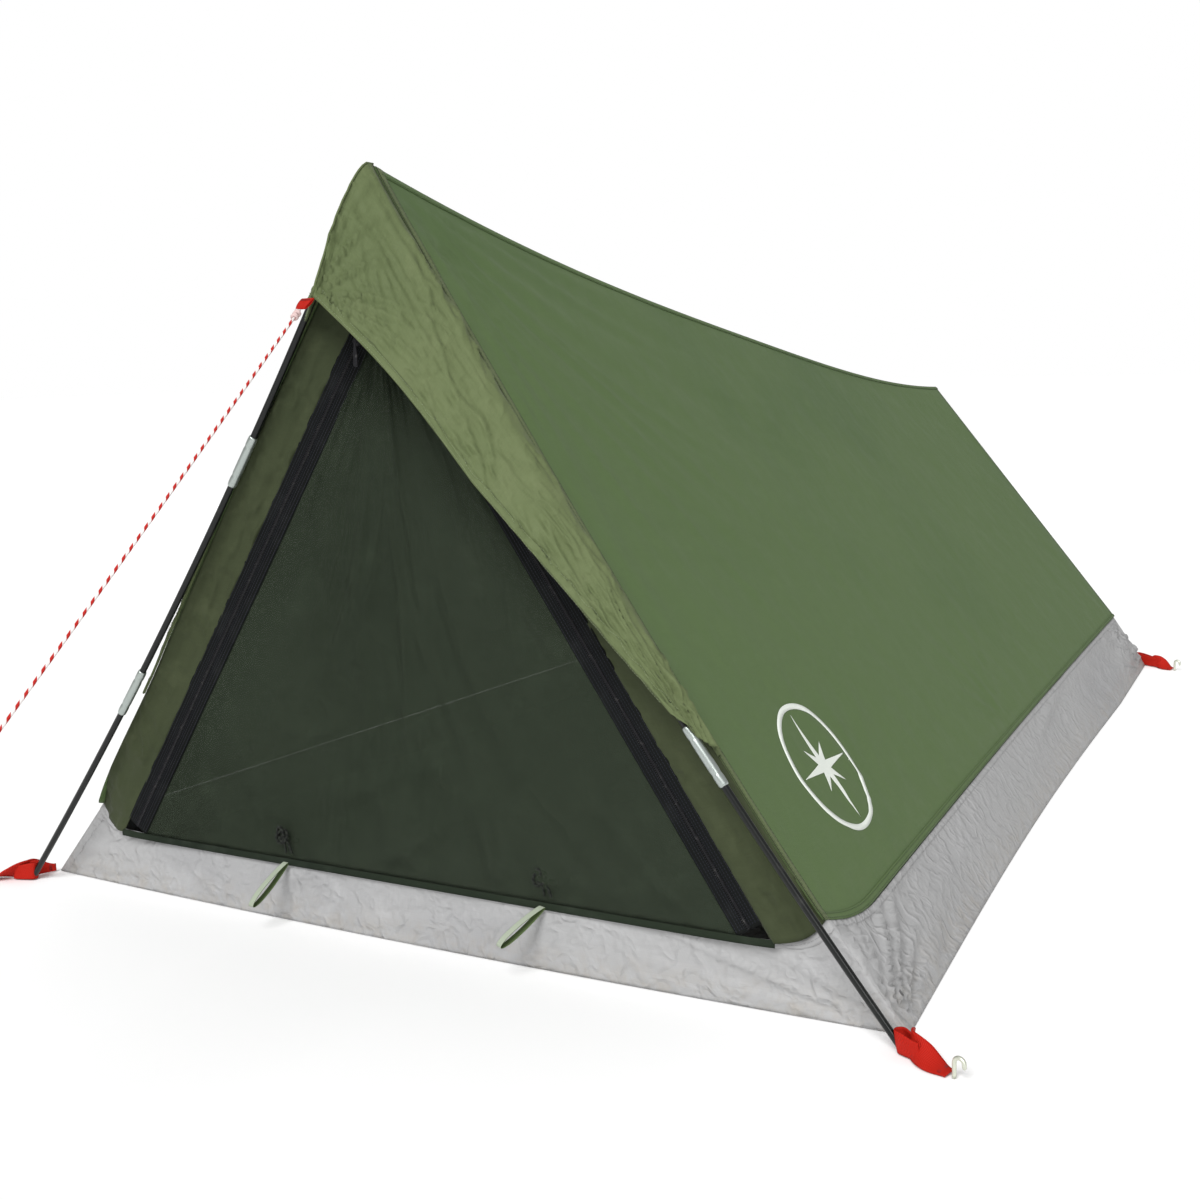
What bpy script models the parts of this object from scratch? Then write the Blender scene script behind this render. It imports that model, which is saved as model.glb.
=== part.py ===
# A two-person A-frame tent, pitched: two sloping poles at each end, a ridge between them,
# a grey tub floor, a hooded mesh door with two zips, corner straps and one front guy line.
# Metres. +X is the right side seen from the door, -Y the door end, +Z up.
# The origin is the middle of the floor.
import math

import bmesh
import bpy
from mathutils import Matrix, Vector

# Driving dimensions
FLOOR_LENGTH = 2.00
FRONT_WIDTH = 1.20
REAR_WIDTH = 0.94
FRONT_HEIGHT = 0.885
REAR_HEIGHT = 0.598
TUB_FRONT = 0.083       # height of the tub's seam at the front corners
FRONT_SILL = 0.0745     # the same seam in the middle of the door
TUB_REAR = 0.104        # and at the rear corners
SEAM_FRONT_X = 0.527    # half the tent's width at that seam
SEAM_REAR_X = 0.406
RIDGE_SAG = 0.040       # how far the ridge hangs below a straight line
SIDE_PULL = 0.029       # how far the floor's long sides draw in
FABRIC = 0.0015
SEAM = 0.003            # between panels that are sewn together
FLOOR_BOW = 0.014       # how far the floor's front edge bows out
LAP = 0.0007            # between a panel's edge and its neighbour
TUB_INSET = 0.006       # tub walls stop short of their corners

# Door wall, in one upright plane
WALL_Y = -1.012
REAR_WALL_Y = 0.984
HINGE_Z = 0.0785        # the door folds in about its bottom edge
ZIP_FOOT = Vector((0.4396, WALL_Y, 0.079))
ZIP_PEAK = Vector((0.0, WALL_Y, 0.751))
ZIP_TAPE = 0.0128       # each tape, across
TAPE_THICK = 0.0022
SLIDER_START = 0.060    # from the zip's peak, door closed

# Poles
POLE_R = 0.0040
POLE_WALL = 0.0012
FERRULE_R = 0.0055
FERRULE_BORE = 0.0044
FERRULE_LENGTH = 0.070
ELBOW_R = 0.0057
CORD_R = 0.00125
POLE_SIDES = 10
BUTT = 0.0006           # between a section's end and its joint
ELBOW_REACH = 0.058     # share of a leg that the elbow covers
POLE_TOP = 0.033        # share of a leg left free at its top, inside the elbow
FRONT_FOOT = Vector((0.606, -1.040, 0.004))
FRONT_APEX = Vector((0.0, -1.034, 0.874))
FRONT_BOW = 0.023
FRONT_JOINTS = (0.31, 0.645)    # ferrules, as shares of the leg from its foot
REAR_FOOT = Vector((0.455, 1.010, 0.004))
REAR_APEX = Vector((0.0, 1.005, 0.586))
REAR_BOW = 0.018
REAR_JOINTS = (0.5,)
ELBOW_TURN = 0.030      # share of a leg that the elbow's bend takes

# Hood
HOOD_PEAK = Vector((0.0015, -1.021, 0.888))
HOOD_TAB = Vector((0.0015, -1.130, 0.744))
HOOD_END_Z = 0.320
HOOD_CROWN = 0.016

# Guy line
TAB_TIP = Vector((0.0, -1.150, 0.7305))
PEG_Y = -2.005
LINE_R = 0.0015
LINE_LIFT = 0.012       # height of the line where it goes round its peg
STRAND = 0.006          # half the distance between the doubled strands
RUNNER_UP = 0.22        # runner's distance from the peg
LINE_SAG = 0.004
RUNNER_SIZE = (0.012, 0.024, 0.006)
RUNNER_HOLE = 0.0020

# Straps and pegs
STRAP_WIDTH = 0.025
STRAP_THICK = 0.0022
PEG_R = 0.0022
PEG_FOOT = 0.0006       # a peg's head is cut off just above the ground
PEG_TOP = 0.016
HOOK_R = 0.0055
SLIDE_HALF = (0.0065, 0.0048)   # half a zip slider's length and width
PULL = (0.030, 0.006, 0.0016)   # length, width and thickness of its pull
TOGGLE_X = 0.184
TOGGLE_HALF = 0.013
TOGGLE_R = 0.0040


def clear_scene():
    for obj in list(bpy.data.objects):
        bpy.data.objects.remove(obj, do_unlink=True)


def material(name, color, roughness, metallic=0.0):
    made = bpy.data.materials.new(name)
    made.use_nodes = True
    shader = made.node_tree.nodes["Principled BSDF"]
    shader.inputs["Base Color"].default_value = (*color, 1.0)
    shader.inputs["Roughness"].default_value = roughness
    shader.inputs["Metallic"].default_value = metallic
    return made


def finish(name, bm, mat, joint=None):
    """Turn a bmesh into a named object; a moving piece hangs on the empty at its joint."""
    bmesh.ops.recalc_face_normals(bm, faces=bm.faces)
    if joint is not None:
        bmesh.ops.translate(bm, verts=bm.verts, vec=-joint.location)
    mesh = bpy.data.meshes.new(name)
    bm.to_mesh(mesh)
    bm.free()
    mesh.materials.append(mat)
    obj = bpy.data.objects.new(name, mesh)
    bpy.context.collection.objects.link(obj)
    obj.parent = joint
    return obj


def joint_empty(name, place):
    empty = bpy.data.objects.new(name, None)
    empty.location = place
    bpy.context.collection.objects.link(empty)
    return empty


def sheet(name, across, along, point, offset, mat, joint=None):
    """A grid of cloth whose corners come from point(u, v), made solid by an extrusion along offset."""
    bm = bmesh.new()
    bmesh.ops.create_grid(bm, x_segments=across, y_segments=along, size=0.5)
    for vert in bm.verts:
        vert.co = point(vert.co.x + 0.5, vert.co.y + 0.5)
    grown = bmesh.ops.extrude_face_region(bm, geom=bm.faces[:])
    verts = [item for item in grown["geom"] if isinstance(item, bmesh.types.BMVert)]
    bmesh.ops.translate(bm, verts=verts, vec=offset)
    return finish(name, bm, mat, joint)


def plate(name, outline, offset, mat, joint=None):
    """A flat outline pushed along offset."""
    bm = bmesh.new()
    face = bm.faces.new([bm.verts.new(point) for point in outline])
    grown = bmesh.ops.extrude_face_region(bm, geom=[face])
    verts = [item for item in grown["geom"] if isinstance(item, bmesh.types.BMVert)]
    bmesh.ops.translate(bm, verts=verts, vec=offset)
    return finish(name, bm, mat, joint)


def loft(name, loops, mat, joint=None, ring=False):
    """Closed outlines joined one to the next, with flat ends, or joined round into a ring."""
    bm = bmesh.new()
    rows = [[bm.verts.new(point) for point in loop] for loop in loops]
    count = len(rows[0])
    pairs = list(zip(rows, rows[1:]))
    if ring:
        pairs.append((rows[-1], rows[0]))
    for low, high in pairs:
        for i in range(count):
            j = (i + 1) % count
            bm.faces.new((low[i], low[j], high[j], high[i]))
    if not ring:
        bm.faces.new(rows[0])
        bm.faces.new(rows[-1])
    return finish(name, bm, mat, joint)


def circle(path, i, radius, sides, side_axis):
    """The circle round a path at its point i, square to the path."""
    ahead = (path[min(i + 1, len(path) - 1)] - path[max(i - 1, 0)]).normalized()
    right = (side_axis - ahead * side_axis.dot(ahead)).normalized()
    up = ahead.cross(right)
    turns = [2 * math.pi * (k + 0.5) / sides for k in range(sides)]
    return [path[i] + radius * (math.cos(a) * right + math.sin(a) * up) for a in turns]


def rod(name, path, radius, sides, side_axis, mat, joint=None):
    loops = [circle(path, i, radius, sides, side_axis) for i in range(len(path))]
    return loft(name, loops, mat, joint)


def tube(name, path, outer, inner, sides, side_axis, mat):
    """A pipe: out along its skin and back through its bore."""
    skin = [circle(path, i, outer, sides, side_axis) for i in range(len(path))]
    bore = [circle(path, i, inner, sides, side_axis) for i in range(len(path))]
    return loft(name, skin + bore[::-1], mat, ring=True)


def ribbon(name, stations, width, thickness, mat, joint=None, ring=False):
    """Webbing: a flat section carried along stations of (centre, width direction, face direction)."""
    loops = []
    for centre, across, face in stations:
        half = across.normalized() * width / 2
        out = face.normalized() * thickness / 2
        below, above = centre - out, centre + out
        loops.append([below - half, below + half, above + half, above - half])
    return loft(name, loops, mat, joint, ring)


def floor_side(t):
    """Half the floor's width, t from 0 at the door to 1 at the foot end."""
    straight = (FRONT_WIDTH + (REAR_WIDTH - FRONT_WIDTH) * t) / 2
    return straight - SIDE_PULL * math.sin(math.pi * min(t / 0.8, 1.0))


def front_edge_y(x):
    """The floor's front edge, bowed out a little between its corners."""
    return -FLOOR_LENGTH / 2 - FLOOR_BOW * (1 - (2 * x / FRONT_WIDTH) ** 2)


def front_seam(x):
    """The seam along the top of the front tub wall."""
    share = abs(x) / SEAM_FRONT_X
    z = FRONT_SILL + (TUB_FRONT - FRONT_SILL) * share ** 12
    return Vector((x, -0.994 - FLOOR_BOW * (1 - share ** 4), z))


def side_seam(t):
    x = SEAM_FRONT_X + (SEAM_REAR_X - SEAM_FRONT_X) * t - 0.006 * math.sin(math.pi * t)
    y = -0.994 + (0.979 + 0.994) * t
    return Vector((x, y, TUB_FRONT + (TUB_REAR - TUB_FRONT) * t))


def seam_x(z):
    """Half the width of the roof's front edge at a height."""
    return SEAM_FRONT_X * (FRONT_HEIGHT - z) / (FRONT_HEIGHT - TUB_FRONT)


def rear_seam_x(z):
    return SEAM_REAR_X * (REAR_HEIGHT - z) / (REAR_HEIGHT - TUB_REAR)


def roof_front_y(u):
    """The roof's front edge stands forward between the peak (u = 0) and the tub (u = 1)."""
    return -1.016 + 0.012 * u ** 4 - 0.013 * math.sin(math.pi * u) ** 0.6


def roof_point(u, v, side):
    """The roof: u from the ridge to the tub's seam, v from the door to the foot end."""
    low = side_seam(v)
    x = 0.0015 + (low.x - 0.0015) * u
    y = roof_front_y(u) * (1 - v) + (1.015 - 0.029 * u) * v
    ridge = FRONT_HEIGHT + (REAR_HEIGHT - FRONT_HEIGHT) * v
    z = ridge + (low.z + 0.003 - ridge) * u
    z -= RIDGE_SAG * (1 - abs(2 * v - 1) ** 3) * (1 - u) ** 2
    hollow = math.sin(math.pi * u) * math.sin(math.pi * v)
    return Vector((side * (x - 0.008 * hollow), y, z - 0.008 * hollow))


def hood_point(u, v, side):
    """The hood: v from its middle to its lower end, u from the seam at the roof to the free edge."""
    end_x = seam_x(HOOD_END_Z) + 0.004
    top = HOOD_PEAK
    seam = Vector((top.x + (end_x - top.x) * v, 0, top.z + (HOOD_END_Z - top.z) * v))
    seam.y = roof_front_y(v * 0.7) - 0.005
    end = Vector((end_x - 0.008, seam.y - 0.020, HOOD_END_Z + 0.001))
    edge = HOOD_TAB.lerp(end, v)
    edge.z += 0.012 * math.sin(math.pi * min(v * 2.2, 1.0))
    out = Vector((0.64 * min(v * 6, 1), -0.63, 0.44)).normalized()
    crown = HOOD_CROWN * math.sin(math.pi * math.sqrt(u)) * (1 - 0.5 * v ** 6)
    place = seam.lerp(edge, u) + out * crown
    return Vector((side * place.x, place.y, place.z))


def zip_point(down, across, side, y=WALL_Y):
    """A place on the zip: down from its peak, across towards the roof, both in the wall's plane."""
    along = (ZIP_FOOT - ZIP_PEAK).normalized()
    outward = Vector((-along.z, 0, along.x))
    place = ZIP_PEAK + along * down + outward * across
    return Vector((side * place.x, y, place.z))


def zip_x(z, across):
    """Half the distance between the two zips at a height, across metres outside their middle lines."""
    along = (ZIP_FOOT - ZIP_PEAK).normalized()
    return (ZIP_PEAK.z - z) * ZIP_FOOT.x / (ZIP_PEAK.z - ZIP_FOOT.z) - across / along.z


def leg_point(foot, apex, bow, t):
    place = foot.lerp(apex, t)
    place.x -= 4 * bow * t * (1 - t)
    return place


def frame_point(foot, apex, bow, s):
    """Along a whole pole frame: s is -1 at the left foot, 0 at the top and 1 at the right foot."""
    turn = ELBOW_TURN
    if abs(s) >= turn:
        place = leg_point(foot, apex, bow, 1 - abs(s))
        return Vector((math.copysign(place.x, s), place.y, place.z))
    right = leg_point(foot, apex, bow, 1 - turn)
    left = Vector((-right.x, right.y, right.z))
    k = (s + turn) / (2 * turn)
    return left * (1 - k) ** 2 + apex * 2 * k * (1 - k) + right * k ** 2


def build_floor(mats):
    steps = 12
    half = FLOOR_LENGTH / 2
    shares = [i / steps for i in range(steps + 1)]
    right = [Vector((floor_side(t), -half + FLOOR_LENGTH * t, 0)) for t in shares]
    left = [Vector((-p.x, p.y, 0)) for p in reversed(right)]
    xs = [FRONT_WIDTH * (i / 8 - 0.5) for i in range(1, 8)]
    front = [Vector((x, front_edge_y(x), 0)) for x in xs]
    plate("floor_sheet", right + left + front, Vector((0, 0, FABRIC)), mats["tub"])


def build_tub(mats):
    floor_top = FABRIC + LAP

    def side_wall(u, v, side):
        t = 0.003 + 0.994 * v
        base = Vector((floor_side(t), -FLOOR_LENGTH / 2 + FLOOR_LENGTH * t, floor_top))
        place = base.lerp(side_seam(t), u)
        return Vector((side * place.x, place.y, place.z))

    def front_wall(u, v):
        base_x = (2 * v - 1) * (FRONT_WIDTH / 2 - TUB_INSET)
        seam_place = front_seam((2 * v - 1) * (SEAM_FRONT_X - TUB_INSET))
        return Vector((base_x, front_edge_y(base_x), floor_top)).lerp(seam_place, u)

    def rear_wall(u, v):
        base = Vector(((2 * v - 1) * (REAR_WIDTH / 2 - TUB_INSET), FLOOR_LENGTH / 2, floor_top))
        top = Vector(((2 * v - 1) * (SEAM_REAR_X - TUB_INSET), REAR_WALL_Y - 0.002, TUB_REAR - 0.008))
        return base.lerp(top, u)

    for name, side in (("tub_left", -1), ("tub_right", 1)):
        inward = Vector((-side * FABRIC, 0, 0))
        sheet(name, 2, 12, lambda u, v, s=side: side_wall(u, v, s), inward, mats["tub"])
    sheet("tub_front", 2, 12, front_wall, Vector((0, FABRIC, 0)), mats["tub"])
    sheet("tub_rear", 2, 8, rear_wall, Vector((0, -FABRIC, 0)), mats["tub"])


def build_roof(mats):
    for word, side in (("left", -1), ("right", 1)):
        inward = Vector((-0.84 * side, 0, -0.54)) * FABRIC
        sheet(f"roof_{word}", 8, 12, lambda u, v, s=side: roof_point(u, v, s), inward, mats["roof"])
        back = Vector((-0.55 * side, 0.67, -0.5)) * FABRIC
        sheet(f"hood_{word}", 6, 10, lambda u, v, s=side: hood_point(u, v, s), back, mats["hood"])


def build_door_wall(mats, door):
    thick = Vector((0, FABRIC, 0))
    tape_edge = ZIP_TAPE + SEAM / 2
    bottom = HINGE_Z + 0.001
    for word, side in (("left", -1), ("right", 1)):
        peak_z = ZIP_PEAK.z + tape_edge / 0.57
        corners = [
            (zip_x(bottom, tape_edge + 0.001), bottom),
            (seam_x(bottom) - 0.020, bottom + 0.004),
            (seam_x(0.14) - 0.008, 0.14),
            (0.0015, FRONT_HEIGHT - 0.016),
            (0.0015, peak_z + 0.002),
        ]
        outline = [Vector((side * x, WALL_Y, z)) for x, z in corners]
        plate(f"front_panel_{word}", outline, thick, mats["wall"])
        length = (ZIP_PEAK - ZIP_FOOT).length
        tapes = (
            (f"wall_zip_{word}", LAP, ZIP_TAPE, 0.004, None),
            (f"door_zip_{word}", -ZIP_TAPE, -LAP, 0.028, door),
        )
        for name, inner, outer, top, joint in tapes:
            ends = ((top, inner), (top, outer), (length - 0.010, outer), (length - 0.010, inner))
            outline = [zip_point(down, across, side, WALL_Y - 0.0004) for down, across in ends]
            plate(name, outline, Vector((0, TAPE_THICK, 0)), mats["zip"], joint)
    low = zip_x(bottom + 0.001, -tape_edge)
    high_z = ZIP_PEAK.z - 0.045
    high = zip_x(high_z, -tape_edge)
    corners = ((-low, bottom + 0.001), (low, bottom + 0.001), (high, high_z), (-high, high_z))
    plate("door_mesh", [Vector((x, WALL_Y, z)) for x, z in corners], thick, mats["mesh"], door)


def build_toggles(mats, door):
    for word, side in (("left", -1), ("right", 1)):
        y = WALL_Y + 0.0095
        middle = Vector((side * TOGGLE_X, y, 0.100))
        path = [middle + Vector((dx, 0, 0)) for dx in (-TOGGLE_HALF, TOGGLE_HALF)]
        rod(f"toggle_{word}", path, TOGGLE_R, 8, Vector((0, 1, 0)), mats["plastic"], door)


def build_sliders(mats):
    for word, side in (("left", -1), ("right", 1)):
        centre = zip_point(SLIDER_START, 0, side)
        slide = joint_empty(f"zip_{word}_joint", centre)
        face_y = WALL_Y - 0.0010
        half_l, half_w = SLIDE_HALF
        narrow = half_w * 0.7
        corners = [(-half_l, -half_w), (-half_l, half_w), (half_l, narrow), (half_l, -narrow)]
        outline = [zip_point(SLIDER_START + down, across, side, face_y) for down, across in corners]
        plate(f"zip_slider_{word}", outline, Vector((0, -0.0040, 0)), mats["black"], slide)
        hook = centre + Vector((0, -0.0095, 0))
        swing = joint_empty(f"pull_{word}_joint", hook)
        length, width, thickness = PULL
        ends = (hook + Vector((0, 0, 0.002)), hook - Vector((0, 0, length)))
        stations = [(end, Vector((1, 0, 0)), Vector((0, 1, 0))) for end in ends]
        ribbon(f"zip_pull_{word}", stations, width, thickness, mats["black"], swing)


def build_rear_wall(mats):
    split = 0.360
    low, top = TUB_REAR - 0.006, REAR_HEIGHT - 0.030
    inset = 0.010
    wall = ((rear_seam_x(low) - inset - 0.006, low), (rear_seam_x(split) - inset, split))
    panel = [(wall[0][0], low), (wall[1][0], split), (-wall[1][0], split), (-wall[0][0], low)]
    vent = [(rear_seam_x(split) - inset - 0.002, split + SEAM), (0, top)]
    vent.append((-vent[0][0], split + SEAM))
    for name, shape, mat in (("rear_panel", panel, "roof"), ("rear_vent_mesh", vent, "mesh")):
        outline = [Vector((x, REAR_WALL_Y, z)) for x, z in shape]
        plate(name, outline, Vector((0, -FABRIC, 0)), mats[mat])


def build_frame(word, foot, apex, bow, joints, mats):
    """One pair of legs: sectioned poles, ferrules over their butts, the elbow, the elastic inside."""
    leg = (foot - apex).length
    side_axis = Vector((0, 1, 0))
    half_ferrule = FERRULE_LENGTH / 2 / leg
    butt = BUTT / leg
    names = {1: ("lower", "upper"), 2: ("lower", "middle", "upper")}[len(joints)]
    cuts = [0.0, *joints, 1 - POLE_TOP]

    def stretch(start, end, steps, side):
        places = [start + (end - start) * i / steps for i in range(steps + 1)]
        return [frame_point(foot, apex, bow, side * (1 - t)) for t in places]

    for side, hand in ((-1, "left"), (1, "right")):
        for name, start, end in zip(names, cuts, cuts[1:]):
            path = stretch(start + butt, end - butt, 5, side)
            title = f"{word}_pole_{name}_{hand}"
            tube(title, path, POLE_R, POLE_R - POLE_WALL, POLE_SIDES, side_axis, mats["pole"])
        for name, centre in zip(("lower", "upper"), joints):
            path = stretch(centre - half_ferrule, centre + half_ferrule, 3, side)
            tag = f"_{name}" if len(joints) > 1 else ""
            title = f"{word}_ferrule{tag}_{hand}"
            tube(title, path, FERRULE_R, FERRULE_BORE, POLE_SIDES, side_axis, mats["ferrule"])
    path = [frame_point(foot, apex, bow, ELBOW_REACH * (i / 8 - 1)) for i in range(17)]
    tube(f"{word}_apex_joint", path, ELBOW_R, FERRULE_BORE, POLE_SIDES, side_axis, mats["plastic"])
    ends = [-1 + 0.006 + (1 - 0.006 - 0.06) * i / 14 for i in range(15)]
    turn = [0.05 * i / 5 for i in range(-5, 6)]
    path = [frame_point(foot, apex, bow, s) for s in ends + turn + [-s for s in reversed(ends)]]
    rod(f"{word}_shock_cord", path, CORD_R, 6, side_axis, mats["cord"])


def build_straps(mats):
    """Corner webbing: it leaves the tub on edge, passes the pole's foot and lies down to its peg."""
    routes = {
        "front": [
            (0.6035, -1.004), (0.612, -1.022), (0.6155, -1.043),
            (0.631, -1.055), (0.648, -1.062), (0.660, -1.067),
        ],
        "rear": [
            (0.4755, 0.995), (0.484, 0.989), (0.496, 0.983),
            (0.508, 0.977), (0.520, 0.971), (0.530, 0.966),
        ],
    }
    leans = (0, 0, 8, 45, 75, 82)
    for end, route in routes.items():
        for hand, side in (("left", -1), ("right", 1)):
            stations = []
            for i, (x, y) in enumerate(route):
                ahead = Vector(route[min(i + 1, 5)]) - Vector(route[max(i - 1, 0)])
                flat = Vector((side * ahead.y, -ahead.x, 0)).normalized()
                lean = math.radians(leans[i])
                across = Vector((0, 0, math.cos(lean))) - flat * math.sin(lean) * side
                ahead3 = Vector((side * ahead.x, ahead.y, 0))
                height = STRAP_WIDTH / 2 * math.cos(lean) + STRAP_THICK / 2 * math.sin(lean)
                centre = Vector((side * x, y, height + 0.0008))
                stations.append((centre, across, across.cross(ahead3)))
            ribbon(f"strap_{end}_{hand}", stations, STRAP_WIDTH, STRAP_THICK, mats["webbing"])
            tip = Vector((side * (route[-1][0] + 0.0055), route[-1][1] - 0.0025, 0))
            build_peg(f"peg_{end}_{hand}", tip, Vector((side, -0.3, 0)).normalized(), mats)


def build_peg(name, place, away, mats):
    """The head of a wire peg: its shank comes out of the ground and hooks over, away from the tent."""
    path = [place + Vector((0, 0, z)) for z in (PEG_FOOT, PEG_TOP)]
    for i in range(1, 7):
        turn = math.pi * i / 6
        rise = Vector((0, 0, PEG_TOP + HOOK_R * math.sin(turn)))
        path.append(place + rise + away * HOOK_R * (1 - math.cos(turn)))
    path.append(path[-1] + Vector((0, 0, -0.004)))
    rod(name, path, PEG_R, 8, away.cross(Vector((0, 0, 1))), mats["steel"])


def line_frame():
    """The guy line's direction from its tab down to its peg, and where it meets the peg."""
    foot = Vector((0, PEG_Y, LINE_LIFT))
    return foot, (foot - TAB_TIP).normalized()


def build_guy(mats):
    foot, down = line_frame()
    out = Vector((0, 0, 1)).cross(Vector((1, 0, 0)))
    tab_root = HOOD_TAB + Vector((-HOOD_TAB.x, -0.0065, -0.0025))
    stations = [(tab_root, Vector((1, 0, 0)), out), (TAB_TIP - down * 0.001, Vector((1, 0, 0)), out)]
    ribbon("guy_tab", stations, 0.016, 0.003, mats["webbing"])
    start = TAB_TIP + down * 0.0016
    runner = foot - down * RUNNER_UP
    route = []
    upper = 14
    for i in range(upper):
        k = i / upper
        drift = Vector((STRAND * k, 0, -LINE_SAG * 4 * k * (1 - k)))
        route.append(start.lerp(runner - down * 0.03, k) + drift)
    strand_right = Vector((STRAND, 0, 0))
    near = foot - down * 0.008
    route += [(runner - down * 0.03).lerp(near, k / 9) + strand_right for k in range(10)]
    centre = near + down * 0.001
    for i in range(7):
        turn = math.pi * i / 6
        route.append(centre + Vector((STRAND * math.cos(turn), 0, 0)) + down * STRAND * math.sin(turn))
    route += [near.lerp(runner - down * 0.012, k / 8) - strand_right for k in range(9)]
    curve = bpy.data.curves.new("guy_line", "CURVE")
    curve.dimensions = "3D"
    curve.bevel_depth = LINE_R
    curve.bevel_resolution = 2
    curve.use_fill_caps = True
    spline = curve.splines.new("POLY")
    spline.points.add(len(route) - 1)
    for point, place in zip(spline.points, route):
        point.co = (*place, 1)
    curve.materials.append(mats["rope"])
    bpy.context.collection.objects.link(bpy.data.objects.new("guy_line", curve))
    build_peg("guy_peg", Vector((0, centre.y, 0)), Vector((0, -1, 0)), mats)
    build_runner(runner, down, mats)


def build_runner(centre, down, mats):
    """A two-hole slide on the doubled line."""
    slide = joint_empty("runner_joint", centre)
    along = down.to_track_quat("Z", "X").to_matrix().to_4x4()
    bm = bmesh.new()
    bmesh.ops.create_cube(bm, size=1.0, matrix=along @ Matrix.Diagonal((*RUNNER_SIZE, 1)))
    bmesh.ops.bevel(bm, geom=bm.edges[:], offset=0.001, segments=1, affect="EDGES", profile=0.5)
    bmesh.ops.translate(bm, verts=bm.verts, vec=centre)
    body = finish("guy_runner", bm, mats["black"], slide)
    bm = bmesh.new()
    for side in (-1, 1):
        place = Matrix.Translation((side * STRAND, 0, 0))
        bmesh.ops.create_cone(
            bm, cap_ends=True, segments=12, radius1=RUNNER_HOLE, radius2=RUNNER_HOLE, depth=0.03,
            matrix=place @ along,
        )
    bmesh.ops.translate(bm, verts=bm.verts, vec=centre)
    cutter = finish("runner_holes", bm, mats["black"], slide)
    cutter.hide_render = True
    cutter.display_type = "WIRE"
    cut = body.modifiers.new("holes", "BOOLEAN")
    cut.object = cutter
    cut.operation = "DIFFERENCE"


def build_tie_loops(mats):
    """Ribbon loops on the front seam that hold the rolled door."""
    tips = {"left": (-0.190, -1.072, 0.036), "right": (0.162, -1.070, 0.044)}
    for hand, root_x in (("left", -TOGGLE_X), ("right", TOGGLE_X)):
        root = Vector((root_x, front_seam(root_x).y - 0.004, 0.0735))
        swing = joint_empty(f"tie_{hand}_joint", root)
        tip = Vector(tips[hand])
        ahead = tip - root
        across = Vector((1, 0, 0)) - ahead * (ahead.x / ahead.length_squared)
        lift = ahead.cross(across).normalized()
        if lift.z < 0:
            lift = -lift
        stations = []
        count = 16
        for i in range(count):
            turn = 2 * math.pi * (i + 0.5) / count
            k = 0.5 - 0.5 * math.cos(turn)
            swell = math.sin(turn) * (0.0035 + 0.004 * k)
            place = root + ahead * k + lift * swell
            stations.append([place, across, None])
        for i in range(count):
            step = stations[(i + 1) % count][0] - stations[i - 1][0]
            stations[i][2] = across.cross(step)
        ribbon(f"tie_loop_{hand}", stations, 0.010, 0.0010, mats["wall"], swing, ring=True)


def build():
    clear_scene()
    mats = {
        "roof": material("roof_fabric", (0.090, 0.135, 0.065), 0.75),
        "hood": material("hood_fabric", (0.195, 0.240, 0.120), 0.75),
        "wall": material("wall_fabric", (0.075, 0.095, 0.040), 0.80),
        "tub": material("tub_fabric", (0.420, 0.420, 0.430), 0.70),
        "mesh": material("mesh_fabric", (0.035, 0.045, 0.035), 0.85),
        "zip": material("zip_tape", (0.012, 0.014, 0.016), 0.60),
        "black": material("black_zinc", (0.020, 0.020, 0.022), 0.40, 0.6),
        "plastic": material("black_plastic", (0.018, 0.018, 0.018), 0.45),
        "pole": material("black_pole", (0.015, 0.017, 0.016), 0.35, 0.3),
        "ferrule": material("bare_aluminium", (0.780, 0.790, 0.800), 0.35, 1.0),
        "cord": material("elastic_cord", (0.600, 0.600, 0.600), 0.80),
        "webbing": material("red_webbing", (0.620, 0.020, 0.010), 0.65),
        "rope": material("red_rope", (0.680, 0.060, 0.040), 0.70),
        "steel": material("zinc_steel", (0.620, 0.610, 0.560), 0.40, 0.9),
    }
    door = joint_empty("door_joint", Vector((0, WALL_Y, HINGE_Z)))
    build_floor(mats)
    build_tub(mats)
    build_roof(mats)
    build_door_wall(mats, door)
    build_toggles(mats, door)
    build_sliders(mats)
    build_rear_wall(mats)
    build_frame("front", FRONT_FOOT, FRONT_APEX, FRONT_BOW, FRONT_JOINTS, mats)
    build_frame("rear", REAR_FOOT, REAR_APEX, REAR_BOW, REAR_JOINTS, mats)
    build_straps(mats)
    build_guy(mats)
    build_tie_loops(mats)


build()
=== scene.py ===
# A pitched A-frame tent: cloth sheets, zips, poles, webbing, pegs and the front guy line.
# Metres in the frame's own axes: +X right seen from the door, -Y the door end, +Z up.
import math

import bmesh
import bpy
from mathutils import Matrix, Vector, noise


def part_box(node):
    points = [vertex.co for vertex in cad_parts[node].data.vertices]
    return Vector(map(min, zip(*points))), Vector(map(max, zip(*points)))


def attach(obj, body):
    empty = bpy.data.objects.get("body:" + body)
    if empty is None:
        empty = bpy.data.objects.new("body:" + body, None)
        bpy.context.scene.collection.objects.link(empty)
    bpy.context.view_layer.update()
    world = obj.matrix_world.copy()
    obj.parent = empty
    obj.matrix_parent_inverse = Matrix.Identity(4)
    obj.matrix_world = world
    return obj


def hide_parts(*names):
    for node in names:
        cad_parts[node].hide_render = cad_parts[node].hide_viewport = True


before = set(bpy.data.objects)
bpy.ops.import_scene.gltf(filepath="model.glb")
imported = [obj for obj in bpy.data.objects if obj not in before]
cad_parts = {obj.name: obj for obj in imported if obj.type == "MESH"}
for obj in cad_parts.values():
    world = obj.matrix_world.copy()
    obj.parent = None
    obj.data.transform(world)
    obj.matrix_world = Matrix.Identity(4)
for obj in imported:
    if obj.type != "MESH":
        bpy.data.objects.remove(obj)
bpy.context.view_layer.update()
print("frame loaded")

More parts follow.
